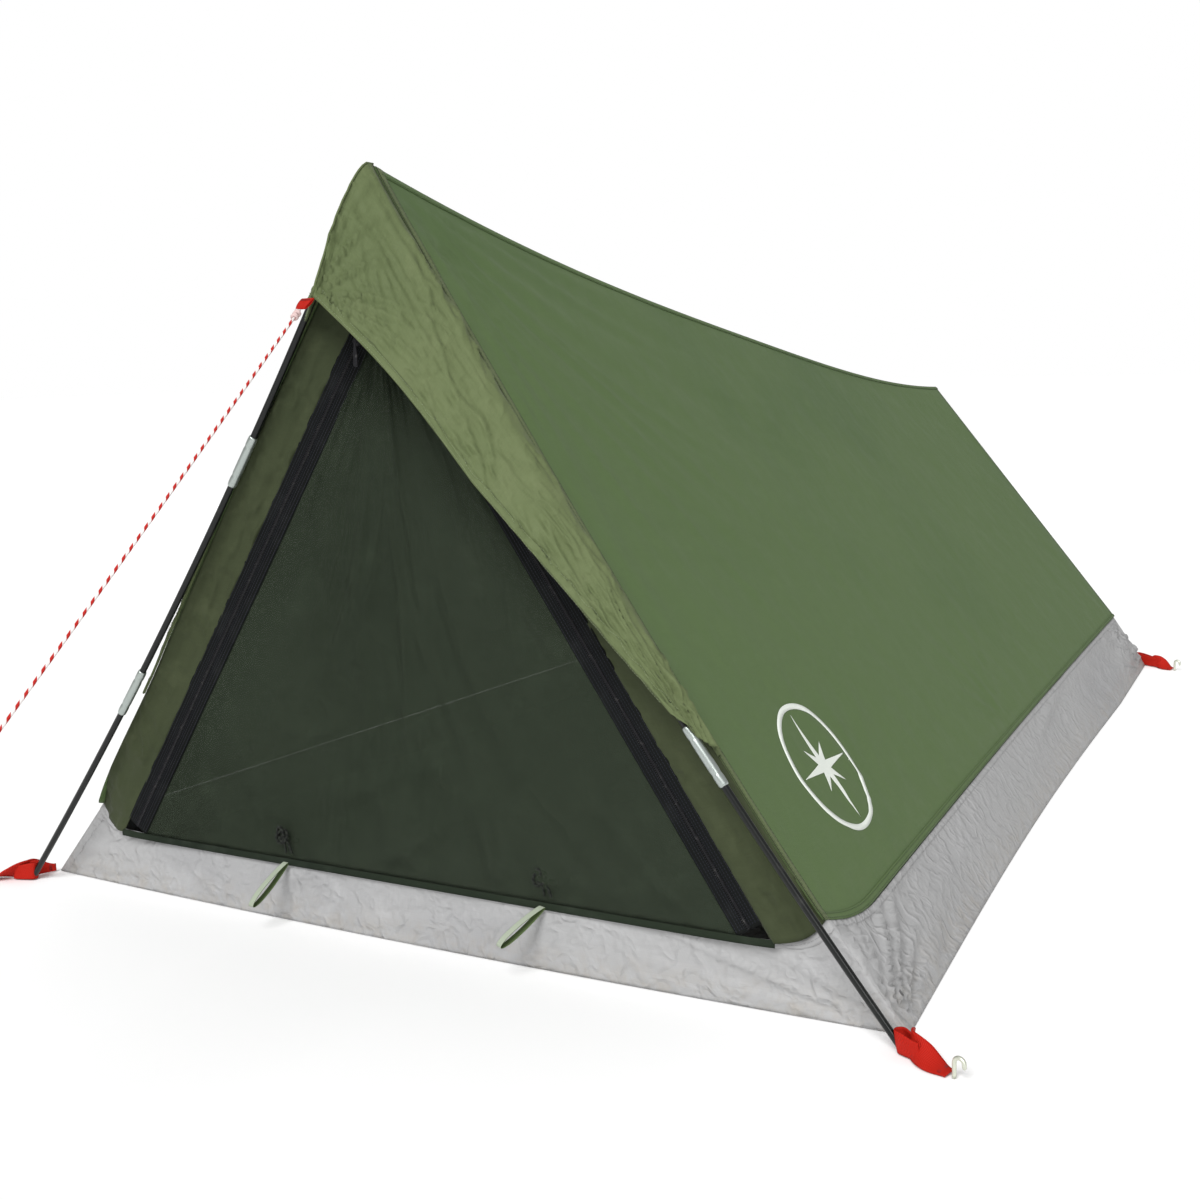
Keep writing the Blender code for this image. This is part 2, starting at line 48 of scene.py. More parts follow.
# ---- camera ----
cameraView = {
    "place": (1.0553, -2.4064, 0.6654),
    "azimuth": 29.49,
    "elevation": 8.63,
    "roll": 1.47,
    "lens": 46.31,
}


def makeCamera(view):
    az, el = math.radians(view["azimuth"]), math.radians(view["elevation"])
    back = Vector((math.sin(az) * math.cos(el), -math.cos(az) * math.cos(el), math.sin(el)))
    data = bpy.data.cameras.new("camera")
    data.lens = view["lens"]
    data.sensor_width = 36.0
    data.clip_start, data.clip_end = 0.05, 100.0
    camera = bpy.data.objects.new("camera", data)
    bpy.context.collection.objects.link(camera)
    turn = (-back).to_track_quat("-Z", "Y").to_matrix().to_4x4()
    roll = Matrix.Rotation(-math.radians(view["roll"]), 4, "Z")
    camera.matrix_world = Matrix.Translation(Vector(view["place"])) @ turn @ roll
    bpy.context.scene.camera = camera


makeCamera(cameraView)


# ---- shared mesh helpers ----
def makePiece(name, bm, mats, body="tent", smooth=True, stands=()):
    mesh = bpy.data.meshes.new(name)
    bm.to_mesh(mesh)
    bm.free()
    for mat in mats if isinstance(mats, (list, tuple)) else [mats]:
        mesh.materials.append(mat)
    if smooth:
        mesh.shade_smooth()
    obj = bpy.data.objects.new(name, mesh)
    bpy.context.collection.objects.link(obj)
    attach(obj, body)
    if stands:
        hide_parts(*stands)
    return obj


def gridCloth(columns, rows, place, size, outward=None):
    # A flat grid bent through place(u, v); its UV map is in metres.
    bm = bmesh.new()
    layer = bm.loops.layers.uv.new("cloth")
    bmesh.ops.create_grid(bm, x_segments=columns, y_segments=rows, size=0.5)
    for face in bm.faces:
        for loop in face.loops:
            at = loop.vert.co
            loop[layer].uv = ((at.x + 0.5) * size[0], (at.y + 0.5) * size[1])
    for vert in bm.verts:
        vert.co = place(vert.co.x + 0.5, vert.co.y + 0.5)
    if outward is not None:
        total = Vector()
        for face in bm.faces:
            face.normal_update()
            total += face.normal * face.calc_area()
        if total.dot(Vector(outward)) < 0:
            bmesh.ops.reverse_faces(bm, faces=bm.faces)
    return bm


def thicken(obj, thickness, offset=-1.0, materialOffset=0):
    mod = obj.modifiers.new("thickness", "SOLIDIFY")
    mod.thickness = thickness
    mod.offset = offset
    mod.material_offset = materialOffset
    return mod


def pathFrame(path, i, sideAxis):
    ahead = (path[min(i + 1, len(path) - 1)] - path[max(i - 1, 0)]).normalized()
    right = (sideAxis - ahead * sideAxis.dot(ahead)).normalized()
    return ahead, right, ahead.cross(right)


def sweepTube(path, radius, sides, sideAxis, caps=True, ovalness=1.0):
    # A round section carried along a path; radius is a number or one per station.
    radii = radius if isinstance(radius, (list, tuple)) else [radius] * len(path)
    frames = [pathFrame(path, i, sideAxis) for i in range(len(path))]
    lengths = [0.0]
    for i in range(1, len(path)):
        lengths.append(lengths[-1] + (path[i] - path[i - 1]).length)
    last = len(path) - 1

    def place(u, v):
        i = min(int(round(v * last)), last)
        angle = 2 * math.pi * u
        _, right, up = frames[i]
        return path[i] + radii[i] * (math.cos(angle) * right + ovalness * math.sin(angle) * up)

    bm = gridCloth(sides, last, place, (1.0, 1.0))
    layer = bm.loops.layers.uv["cloth"]
    for face in bm.faces:
        for loop in face.loops:
            uv = loop[layer].uv
            uv.y = lengths[min(int(round(uv.y * last)), last)]
    bmesh.ops.remove_doubles(bm, verts=bm.verts, dist=1e-7)
    if caps:
        rim = [edge for edge in bm.edges if edge.is_boundary]
        bmesh.ops.holes_fill(bm, edges=rim, sides=0)
    bmesh.ops.recalc_face_normals(bm, faces=bm.faces)
    return bm


def smoothPath(points, count):
    # A Catmull-Rom line through the points.
    knots = [Vector(p) for p in points]
    knots = [knots[0] * 2 - knots[1]] + knots + [knots[-1] * 2 - knots[-2]]
    spans = len(knots) - 3
    out = []
    for i in range(count + 1):
        t = i / count * spans
        k = min(int(t), spans - 1)
        f = t - k
        a, b, c, d = knots[k:k + 4]
        out.append(0.5 * ((2 * b) + (c - a) * f + (2 * a - 5 * b + 4 * c - d) * f * f
                          + (3 * b - a - 3 * c + d) * f ** 3))
    return out


def resample(path, pitch):
    # Points along a path at an even pitch, with the direction at each.
    out = []
    left = 0.0
    for a, b in zip(path, path[1:]):
        span = (b - a).length
        if span < 1e-9:
            continue
        ahead = (b - a) / span
        while left < span:
            out.append((a + ahead * left, ahead))
            left += pitch
        left -= span
    return out


def addStitches(bm, path, normals, settings):
    # Short thread capsules laid end to end along a path.
    pitch, length, radius = settings["pitch"], settings["length"], settings["radius"]
    places = resample(path, pitch)
    for i, (at, ahead) in enumerate(places):
        share = i / max(len(places) - 1, 1) * (len(normals) - 1)
        up = normals[min(int(share + 0.5), len(normals) - 1)]
        side = ahead.cross(up).normalized()
        turn = Matrix((side, up.normalized(), ahead)).transposed().to_4x4()
        lean = Matrix.Rotation(settings.get("lean", 0.0), 4, "Y")
        bmesh.ops.create_cone(
            bm, cap_ends=True, segments=6, radius1=radius, radius2=radius * 0.55,
            depth=length, matrix=Matrix.Translation(at + up * radius * 0.2) @ turn @ lean,
        )


def stitchPiece(name, rows, settings, mat, body="tent"):
    bm = bmesh.new()
    for path, normals in rows:
        addStitches(bm, path, normals, settings)
    return makePiece(name, bm, mat, body)


def smoothStep(x):
    x = min(max(x, 0.0), 1.0)
    return x * x * (3 - 2 * x)


# ---- node groups ----
def startGroup(name, ins, outs):
    group = bpy.data.node_groups.new(name, "ShaderNodeTree")
    for label, kind, value in ins:
        socket = group.interface.new_socket(name=label, in_out="INPUT", socket_type=kind)
        if value is not None:
            socket.default_value = value
    for label, kind in outs:
        group.interface.new_socket(name=label, in_out="OUTPUT", socket_type=kind)
    return group, group.nodes.new("NodeGroupInput"), group.nodes.new("NodeGroupOutput")


def plug(tree, socket, value):
    if isinstance(value, bpy.types.NodeSocket):
        tree.links.new(value, socket)
    elif value is not None:
        socket.default_value = value


def mathNode(tree, operation, a, b=None, c=None, clamp=False):
    node = tree.nodes.new("ShaderNodeMath")
    node.operation = operation
    node.use_clamp = clamp
    for socket, value in zip(node.inputs, (a, b, c)):
        plug(tree, socket, value)
    return node.outputs[0]


def scaleVector(tree, vector, factors):
    node = tree.nodes.new("ShaderNodeVectorMath")
    node.operation = "MULTIPLY"
    plug(tree, node.inputs[0], vector)
    plug(tree, node.inputs[1], factors)
    return node.outputs[0]


def noiseNode(tree, vector, scale, detail=3.0, roughness=0.5, kind="FBM"):
    node = tree.nodes.new("ShaderNodeTexNoise")
    node.noise_type = kind
    node.normalize = kind == "FBM"
    plug(tree, node.inputs["Vector"], vector)
    plug(tree, node.inputs["Scale"], scale)
    node.inputs["Detail"].default_value = detail
    node.inputs["Roughness"].default_value = roughness
    return node.outputs["Fac"]


def rangeNode(tree, value, low, high, toLow=0.0, toHigh=1.0, smooth=False):
    node = tree.nodes.new("ShaderNodeMapRange")
    node.interpolation_type = "SMOOTHSTEP" if smooth else "LINEAR"
    node.clamp = True
    for label, item in (("Value", value), ("From Min", low), ("From Max", high),
                        ("To Min", toLow), ("To Max", toHigh)):
        plug(tree, node.inputs[label], item)
    return node.outputs["Result"]


def mixColor(tree, share, a, b, blend="MIX"):
    node = tree.nodes.new("ShaderNodeMix")
    node.data_type = "RGBA"
    node.blend_type = blend
    node.clamp_factor = True
    plug(tree, node.inputs[0], share)
    plug(tree, node.inputs[6], a)
    plug(tree, node.inputs[7], b)
    return node.outputs[2]


def makePlainWeave():
    # Over-and-under threads of one pitch, with slubs along them.
    tree, gin, gout = startGroup(
        "plainWeave",
        [("Vector", "NodeSocketVector", None), ("Pitch", "NodeSocketFloat", 0.0005)],
        [("Height", "NodeSocketFloat"), ("Slub", "NodeSocketFloat"), ("Gap", "NodeSocketFloat")],
    )
    parts = tree.nodes.new("ShaderNodeSeparateXYZ")
    tree.links.new(gin.outputs["Vector"], parts.inputs[0])
    counts, waves = [], []
    for axis in ("X", "Y"):
        count = mathNode(tree, "DIVIDE", parts.outputs[axis], gin.outputs["Pitch"])
        counts.append(mathNode(tree, "FLOOR", count))
        waves.append(mathNode(tree, "ABSOLUTE", mathNode(tree, "SINE", mathNode(tree, "MULTIPLY", count, math.pi))))
    parity = mathNode(tree, "PINGPONG", mathNode(tree, "ADD", counts[0], counts[1]), 1.0)
    over = mathNode(tree, "MULTIPLY", waves[0], parity)
    under = mathNode(tree, "MULTIPLY", waves[1], mathNode(tree, "SUBTRACT", 1.0, parity))
    tree.links.new(mathNode(tree, "ADD", over, under), gout.inputs["Height"])
    across = noiseNode(tree, scaleVector(tree, gin.outputs["Vector"], (900.0, 30.0, 1.0)), 1.0, 2.0)
    along = noiseNode(tree, scaleVector(tree, gin.outputs["Vector"], (30.0, 900.0, 1.0)), 1.0, 2.0)
    tree.links.new(mathNode(tree, "MULTIPLY", mathNode(tree, "ADD", across, along), 0.5), gout.inputs["Slub"])
    tree.links.new(mathNode(tree, "MULTIPLY", waves[0], waves[1]), gout.inputs["Gap"])
    return tree


def makeCrumple():
    # Small soft crumples and a few sharper creases in a thin sheet.
    tree, gin, gout = startGroup(
        "crumple",
        [("Vector", "NodeSocketVector", None), ("Scale", "NodeSocketFloat", 14.0),
         ("Sharpness", "NodeSocketFloat", 0.5)],
        [("Height", "NodeSocketFloat")],
    )
    warp = noiseNode(tree, gin.outputs["Vector"], mathNode(tree, "MULTIPLY", gin.outputs["Scale"], 0.6), 2.0)
    moved = tree.nodes.new("ShaderNodeVectorMath")
    moved.operation = "ADD"
    tree.links.new(gin.outputs["Vector"], moved.inputs[0])
    push = mathNode(tree, "MULTIPLY", warp, 0.035)
    tree.links.new(push, moved.inputs[1])
    soft = noiseNode(tree, moved.outputs[0], gin.outputs["Scale"], 3.0, 0.45)
    ridge = noiseNode(tree, moved.outputs[0], mathNode(tree, "MULTIPLY", gin.outputs["Scale"], 1.7), 2.0)
    fold = mathNode(tree, "ABSOLUTE", mathNode(tree, "SUBTRACT", ridge, 0.5))
    crease = mathNode(tree, "SUBTRACT", 1.0, mathNode(tree, "MULTIPLY", fold, 9.0), clamp=True)
    sharp = mathNode(tree, "MULTIPLY", crease, gin.outputs["Sharpness"])
    tree.links.new(mathNode(tree, "ADD", soft, mathNode(tree, "MULTIPLY", sharp, 0.35)), gout.inputs["Height"])
    return tree


def makeFade():
    # Slow and quick shifts of one dye.
    tree, gin, gout = startGroup(
        "dyeFade",
        [("Vector", "NodeSocketVector", None), ("Base", "NodeSocketColor", (0.5, 0.5, 0.5, 1)),
         ("Deep", "NodeSocketColor", (0.4, 0.4, 0.4, 1)), ("Pale", "NodeSocketColor", (0.6, 0.6, 0.6, 1))],
        [("Color", "NodeSocketColor"), ("Mask", "NodeSocketFloat")],
    )
    slow = noiseNode(tree, gin.outputs["Vector"], 2.6, 2.0)
    quick = noiseNode(tree, gin.outputs["Vector"], 23.0, 4.0, 0.6)
    deep = rangeNode(tree, slow, 0.55, 0.30, 0.0, 0.8, True)
    pale = rangeNode(tree, quick, 0.5, 0.75, 0.0, 0.6, True)
    dark = mixColor(tree, deep, gin.outputs["Base"], gin.outputs["Deep"])
    tree.links.new(mixColor(tree, pale, dark, gin.outputs["Pale"]), gout.inputs["Color"])
    tree.links.new(quick, gout.inputs["Mask"])
    return tree


def makeDust():
    # Dust that thins out with height above the ground.
    tree, gin, gout = startGroup(
        "groundDust",
        [("Vector", "NodeSocketVector", None), ("Reach", "NodeSocketFloat", 0.1)],
        [("Mask", "NodeSocketFloat")],
    )
    parts = tree.nodes.new("ShaderNodeSeparateXYZ")
    tree.links.new(gin.outputs["Vector"], parts.inputs[0])
    near = rangeNode(tree, parts.outputs["Z"], gin.outputs["Reach"], 0.0, 0.0, 1.0, True)
    specks = rangeNode(tree, noiseNode(tree, gin.outputs["Vector"], 60.0, 5.0, 0.7), 0.42, 0.7)
    tree.links.new(mathNode(tree, "MULTIPLY", near, specks), gout.inputs["Mask"])
    return tree


def makeWear():
    # Scuffs and fine scratches along an axis, for coated metal and plastic.
    tree, gin, gout = startGroup(
        "handlingWear",
        [("Vector", "NodeSocketVector", None), ("Scale", "NodeSocketFloat", 60.0)],
        [("Scuff", "NodeSocketFloat"), ("Grain", "NodeSocketFloat")],
    )
    broad = noiseNode(tree, gin.outputs["Vector"], gin.outputs["Scale"], 4.0, 0.65)
    fine = noiseNode(tree, scaleVector(tree, gin.outputs["Vector"], (900.0, 900.0, 60.0)), 1.0, 2.0)
    marks = rangeNode(tree, broad, 0.58, 0.74)
    tree.links.new(mathNode(tree, "MULTIPLY", marks, fine), gout.inputs["Scuff"])
    tree.links.new(noiseNode(tree, gin.outputs["Vector"], 1400.0, 2.0), gout.inputs["Grain"])
    return tree


def makeWebbing():
    # Chevron ribs of a flat woven tape: U across it, V along it, in metres.
    tree, gin, gout = startGroup(
        "tapeWeave",
        [("Vector", "NodeSocketVector", None), ("Pitch", "NodeSocketFloat", 0.0016)],
        [("Height", "NodeSocketFloat"), ("Shade", "NodeSocketFloat")],
    )
    parts = tree.nodes.new("ShaderNodeSeparateXYZ")
    tree.links.new(gin.outputs["Vector"], parts.inputs[0])
    u = mathNode(tree, "DIVIDE", parts.outputs["X"], gin.outputs["Pitch"])
    v = mathNode(tree, "DIVIDE", parts.outputs["Y"], gin.outputs["Pitch"])
    lean = mathNode(tree, "PINGPONG", u, 2.0)
    rib = mathNode(tree, "ABSOLUTE", mathNode(tree, "SINE", mathNode(
        tree, "MULTIPLY", mathNode(tree, "ADD", v, mathNode(tree, "MULTIPLY", lean, 0.5)), math.pi)))
    warp = mathNode(tree, "ABSOLUTE", mathNode(tree, "SINE", mathNode(tree, "MULTIPLY", u, math.pi * 1.5)))
    tree.links.new(mathNode(tree, "ADD", mathNode(tree, "MULTIPLY", rib, 0.7),
                            mathNode(tree, "MULTIPLY", warp, 0.3)), gout.inputs["Height"])
    tree.links.new(rangeNode(tree, rib, 0.0, 0.5, 0.72, 1.0), gout.inputs["Shade"])
    return tree


def makeBraid():
    # Diamonds of a braided cord: U once round it, V along it in metres.
    tree, gin, gout = startGroup(
        "cordBraid",
        [("Vector", "NodeSocketVector", None), ("Lay", "NodeSocketFloat", 0.006)],
        [("Height", "NodeSocketFloat"), ("Fleck", "NodeSocketFloat")],
    )
    parts = tree.nodes.new("ShaderNodeSeparateXYZ")
    tree.links.new(gin.outputs["Vector"], parts.inputs[0])
    round8 = mathNode(tree, "MULTIPLY", parts.outputs["X"], 8.0)
    along = mathNode(tree, "DIVIDE", parts.outputs["Y"], mathNode(tree, "MULTIPLY", gin.outputs["Lay"], 0.125))
    waves, turns = [], []
    for sign in (1.0, -1.0):
        turn = mathNode(tree, "ADD", mathNode(tree, "MULTIPLY", round8, sign), along)
        turns.append(mathNode(tree, "FLOOR", turn))
        waves.append(mathNode(tree, "ABSOLUTE", mathNode(tree, "SINE", mathNode(tree, "MULTIPLY", turn, math.pi))))
    height = mathNode(tree, "MAXIMUM", waves[0], waves[1])
    tree.links.new(height, gout.inputs["Height"])
    pick = mathNode(tree, "FLOORED_MODULO", turns[0], 8.0)
    fleck = mathNode(tree, "LESS_THAN", pick, 3.5)
    # the flecks fade to half in the grooves between the strands: painted shade
    tree.links.new(mathNode(tree, "MULTIPLY", fleck, rangeNode(tree, height, 0.2, 0.7, 0.5, 1.0)), gout.inputs["Fleck"])
    return tree


groups = {
    "weave": makePlainWeave(),
    "crumple": makeCrumple(),
    "fade": makeFade(),
    "dust": makeDust(),
    "wear": makeWear(),
    "webbing": makeWebbing(),
    "braid": makeBraid(),
}
print("node groups built")


# ---- materials ----
def placeGroup(tree, key, **values):
    node = tree.nodes.new("ShaderNodeGroup")
    node.node_tree = groups[key]
    for label, value in values.items():
        plug(tree, node.inputs[label], value)
    return node.outputs


def startMaterial(name, roughness, **sockets):
    mat = bpy.data.materials.new(name)
    mat.use_nodes = True
    tree = mat.node_tree
    shader = tree.nodes["Principled BSDF"]
    shader.inputs["Roughness"].default_value = roughness
    for label, value in sockets.items():
        shader.inputs[label.replace("_", " ")].default_value = value
    coords = tree.nodes.new("ShaderNodeTexCoord")
    uv = tree.nodes.new("ShaderNodeUVMap")
    uv.uv_map = "cloth"
    return mat, tree, shader, coords.outputs["Object"], uv.outputs[0]


def bumpTo(tree, shader, height, distance, strength=1.0):
    bump = tree.nodes.new("ShaderNodeBump")
    bump.inputs["Strength"].default_value = strength
    bump.inputs["Distance"].default_value = distance
    plug(tree, bump.inputs["Height"], height)
    tree.links.new(bump.outputs[0], shader.inputs["Normal"])


def rgba(color):
    return (*color, 1.0)


def clothMaterial(name, look):
    mat, tree, shader, place, uv = startMaterial(
        name, look["roughness"], Sheen_Weight=look.get("sheen", 0.03), Sheen_Roughness=0.45,
        Specular_IOR_Level=look.get("specular", 0.12))
    fade = placeGroup(tree, "fade", Vector=place, Base=rgba(look["base"]), Deep=rgba(look["deep"]),
                      Pale=rgba(look["pale"]))
    weave = placeGroup(tree, "weave", Vector=uv, Pitch=look["pitch"])
    crumple = placeGroup(tree, "crumple", Vector=place, Scale=look["crumpleScale"], Sharpness=look["sharpness"])
    slub = rangeNode(tree, weave["Slub"], 0.35, 0.65, 1 - look["slub"], 1.0)
    shaded = mixColor(tree, 1.0, fade["Color"], slub, "MULTIPLY")
    if look.get("dust"):
        dust = placeGroup(tree, "dust", Vector=place, Reach=look["dustReach"])
        shaded = mixColor(tree, mathNode(tree, "MULTIPLY", dust["Mask"], look["dust"]), shaded,
                          rgba((0.30, 0.25, 0.18)))
    tree.links.new(shaded, shader.inputs["Base Color"])
    rough = rangeNode(tree, fade["Mask"], 0.3, 0.7, look["roughness"] - 0.06, look["roughness"] + 0.08)
    tree.links.new(rough, shader.inputs["Roughness"])
    tall = mathNode(tree, "MULTIPLY", crumple["Height"], look["crumpleDepth"])
    fine = mathNode(tree, "MULTIPLY", weave["Height"], look["threadDepth"])
    bumpTo(tree, shader, mathNode(tree, "ADD", tall, fine), 1.0)
    return mat


clothLooks = {
    "roof": {"base": (0.090, 0.142, 0.052), "deep": (0.077, 0.127, 0.046), "pale": (0.101, 0.153, 0.060),
             "roughness": 0.60, "pitch": 0.00055, "crumpleScale": 9.0, "sharpness": 0.35, "crumpleDepth": 0.0018,
             "threadDepth": 0.00003, "slub": 0.10, "dust": 0.10, "dustReach": 0.16},
    "hood": {"base": (0.122, 0.153, 0.068), "deep": (0.098, 0.128, 0.055), "pale": (0.146, 0.176, 0.084),
             "roughness": 0.62, "pitch": 0.00055, "crumpleScale": 16.0, "sharpness": 0.8, "crumpleDepth": 0.0034,
             "threadDepth": 0.00003, "slub": 0.12},
    "wall": {"base": (0.043, 0.053, 0.025), "deep": (0.030, 0.040, 0.018), "pale": (0.060, 0.072, 0.036),
             "roughness": 0.66, "pitch": 0.00055, "crumpleScale": 6.0, "sharpness": 0.4, "crumpleDepth": 0.0010,
             "threadDepth": 0.00003, "slub": 0.12},
    "tub": {"base": (0.355, 0.355, 0.356), "deep": (0.305, 0.306, 0.312), "pale": (0.395, 0.395, 0.400),
            "roughness": 0.50, "pitch": 0.0007, "crumpleScale": 20.0, "sharpness": 1.0, "crumpleDepth": 0.0042,
            "threadDepth": 0.00003, "slub": 0.06, "specular": 0.25, "sheen": 0.02, "dust": 0.32, "dustReach": 0.05},
}
clothMats = {key: clothMaterial(f"{key}Cloth", look) for key, look in clothLooks.items()}


def meshMaterial(name, color, hole, pitch):
    # Fine netting: threads with see-through gaps.
    mat, tree, shader, place, uv = startMaterial(name, 0.75, Specular_IOR_Level=0.08)
    weave = placeGroup(tree, "weave", Vector=uv, Pitch=pitch)
    fade = placeGroup(tree, "fade", Vector=place, Base=rgba(color), Deep=rgba([c * 0.75 for c in color]),
                      Pale=rgba([c * 1.25 for c in color]))
    crumple = placeGroup(tree, "crumple", Vector=place, Scale=7.0, Sharpness=0.6)
    tree.links.new(fade["Color"], shader.inputs["Base Color"])
    tree.links.new(rangeNode(tree, weave["Gap"], 0.30, 0.45, 1.0, hole), shader.inputs["Alpha"])
    bumpTo(tree, shader, mathNode(tree, "MULTIPLY", crumple["Height"], 0.0065), 1.0)
    return mat


def tapeMaterial(name, color, dark, pitch, roughness, depth=0.00025):
    mat, tree, shader, place, uv = startMaterial(name, roughness, Sheen_Weight=0.0, Specular_IOR_Level=0.06)
    weave = placeGroup(tree, "webbing", Vector=uv, Pitch=pitch)
    fade = placeGroup(tree, "fade", Vector=place, Base=rgba(color), Deep=rgba(dark),
                      Pale=rgba([min(c * 1.2 + 0.01, 1.0) for c in color]))
    tree.links.new(mixColor(tree, 1.0, fade["Color"], weave["Shade"], "MULTIPLY"), shader.inputs["Base Color"])
    bumpTo(tree, shader, mathNode(tree, "MULTIPLY", weave["Height"], depth), 1.0)
    return mat


def ropeMaterial(name, color, fleckColor, lay):
    mat, tree, shader, place, uv = startMaterial(name, 0.7, Sheen_Weight=0.03, Specular_IOR_Level=0.2)
    braid = placeGroup(tree, "braid", Vector=uv, Lay=lay)
    # the grooves between the strands are darkened to 45 %: painted shade
    dark = mixColor(tree, 1.0, rgba(color), rangeNode(tree, braid["Height"], 0.2, 0.8, 0.45, 1.0), "MULTIPLY")
    tree.links.new(mixColor(tree, braid["Fleck"], dark, rgba(fleckColor)), shader.inputs["Base Color"])
    bumpTo(tree, shader, mathNode(tree, "MULTIPLY", braid["Height"], 0.0003), 1.0)
    return mat


def hardMaterial(name, color, worn, roughness, metallic, scale, grain=0.00002, **sockets):
    mat, tree, shader, place, uv = startMaterial(name, roughness, Metallic=metallic, **sockets)
    wear = placeGroup(tree, "wear", Vector=place, Scale=scale)
    tree.links.new(mixColor(tree, wear["Scuff"], rgba(color), rgba(worn)), shader.inputs["Base Color"])
    rough = rangeNode(tree, wear["Scuff"], 0.0, 0.6, roughness, min(roughness + 0.25, 1.0))
    tree.links.new(rough, shader.inputs["Roughness"])
    bumpTo(tree, shader, mathNode(tree, "MULTIPLY", wear["Grain"], grain), 1.0)
    return mat


def threadMaterial(name, color):
    mat, tree, shader, place, uv = startMaterial(name, 0.7, Sheen_Weight=0.05, Specular_IOR_Level=0.2)
    twist = noiseNode(tree, place, 1500.0, 2.0)
    shade = mixColor(tree, rangeNode(tree, twist, 0.3, 0.7), rgba([c * 0.7 for c in color]), rgba(color))
    tree.links.new(shade, shader.inputs["Base Color"])
    bumpTo(tree, shader, mathNode(tree, "MULTIPLY", twist, 0.0002), 1.0)
    return mat


netMat = meshMaterial("doorNet", (0.028, 0.037, 0.024), 0.35, 0.0011)
zipTapeMat = tapeMaterial("zipTape", (0.0075, 0.0085, 0.0080), (0.0045, 0.005, 0.005), 0.0011, 0.65)
# the dark binding colour also paints the shadow gap along the hood's seam
bindingAndSeamShadowMat = tapeMaterial("darkBindingAndSeamShadow", (0.020, 0.028, 0.018), (0.012, 0.017, 0.012), 0.0011, 0.7)
webbingMat = tapeMaterial("redWebbing", (0.430, 0.016, 0.009), (0.330, 0.011, 0.007), 0.0018, 0.55, 0.0004)
loopMat = tapeMaterial("loopRibbon", (0.120, 0.170, 0.070), (0.080, 0.115, 0.050), 0.0010, 0.6)
loopInnerMat = tapeMaterial("loopLining", (0.420, 0.470, 0.370), (0.330, 0.380, 0.290), 0.0010, 0.6)
ropeMat = ropeMaterial("guyRope", (0.520, 0.020, 0.014), (0.880, 0.840, 0.820), 0.013)
knotMat = ropeMaterial("knotRope", (0.700, 0.120, 0.100), (0.900, 0.850, 0.830), 0.008)
elasticMat = ropeMaterial("shockCord", (0.620, 0.620, 0.600), (0.080, 0.080, 0.080), 0.006)
darkCordMat = ropeMaterial("darkCord", (0.005, 0.006, 0.005), (0.020, 0.024, 0.018), 0.006)
poleMat = hardMaterial("blackPole", (0.004, 0.005, 0.0045), (0.032, 0.032, 0.030), 0.28, 0.0, 40.0,
                       Coat_Weight=0.12, Coat_Roughness=0.12, Specular_IOR_Level=0.3)
ferruleMat = hardMaterial("bareAluminium", (0.430, 0.475, 0.450), (0.290, 0.310, 0.300), 0.34, 0.9, 90.0)
plasticMat = hardMaterial("mouldedPlastic", (0.016, 0.017, 0.016), (0.060, 0.060, 0.058), 0.45, 0.0, 80.0, 0.00006)
zincMat = hardMaterial("blackZinc", (0.022, 0.022, 0.025), (0.250, 0.240, 0.230), 0.38, 0.7, 160.0)
steelMat = hardMaterial("zincSteel", (0.640, 0.660, 0.560), (0.400, 0.380, 0.300), 0.42, 0.75, 120.0)
printMat = clothMaterial("whitePrint", {
    "base": (0.740, 0.780, 0.720), "deep": (0.660, 0.710, 0.650), "pale": (0.800, 0.830, 0.780), "roughness": 0.5,
    "pitch": 0.00055, "crumpleScale": 9.0, "sharpness": 0.3, "crumpleDepth": 0.0006, "threadDepth": 0.00003,
    "slub": 0.05})
threadMats = {
    "green": threadMaterial("greenThread", (0.070, 0.105, 0.048)),
    "hood": threadMaterial("hoodThread", (0.250, 0.300, 0.170)),
    "grey": threadMaterial("greyThread", (0.330, 0.330, 0.330)),
    "blue": threadMaterial("blueThread", (0.030, 0.032, 0.050)),
    "dark": threadMaterial("darkThread", (0.020, 0.022, 0.020)),
    "red": threadMaterial("redThread", (0.300, 0.012, 0.010)),
}
print("materials built")


# ---- guy line: a cord, so it comes right after the camera ----
guyLook = {
    "radius": 0.0015,
    "strand": 0.006,    # half the distance between the doubled strands
    "runnerUp": 0.22,   # the runner's distance from the peg
    "sag": 0.004,
    "liftAtPeg": 0.012,
}
hoodTab = Vector((0.0, -1.130, 0.744))
tabTip = Vector((0.0, -1.150, 0.7305))
pegFoot = Vector((0.0, -2.005, guyLook["liftAtPeg"]))
lineDown = (pegFoot - tabTip).normalized()
runnerPlace = pegFoot - lineDown * guyLook["runnerUp"]


def guyRoute():
    strand = guyLook["strand"]
    start = tabTip + lineDown * 0.0016
    fork = runnerPlace - lineDown * 0.03
    out = []
    for i in range(28):
        k = i / 28
        drift = Vector((strand * k, 0, -guyLook["sag"] * 4 * k * (1 - k)))
        out.append(start.lerp(fork, k) + drift)
    right = Vector((strand, 0, 0))
    near = pegFoot - lineDown * 0.008
    out += [fork.lerp(near, k / 12) + right for k in range(13)]
    centre = near + lineDown * 0.001
    for i in range(13):
        turn = math.pi * i / 12
        out.append(centre + Vector((strand * math.cos(turn), 0, 0)) + lineDown * strand * math.sin(turn))
    out += [near.lerp(runnerPlace - lineDown * 0.012, k / 10) - right for k in range(11)]
    return out, centre


guyPath, pegCentre = guyRoute()
guyLength = sum((b - a).length for a, b in zip(guyPath, guyPath[1:]))
guyLine = makePiece("guyLine", sweepTube(guyPath, guyLook["radius"], 12, Vector((1, 0, 0))), ropeMat,
                    stands=["guy_line"])


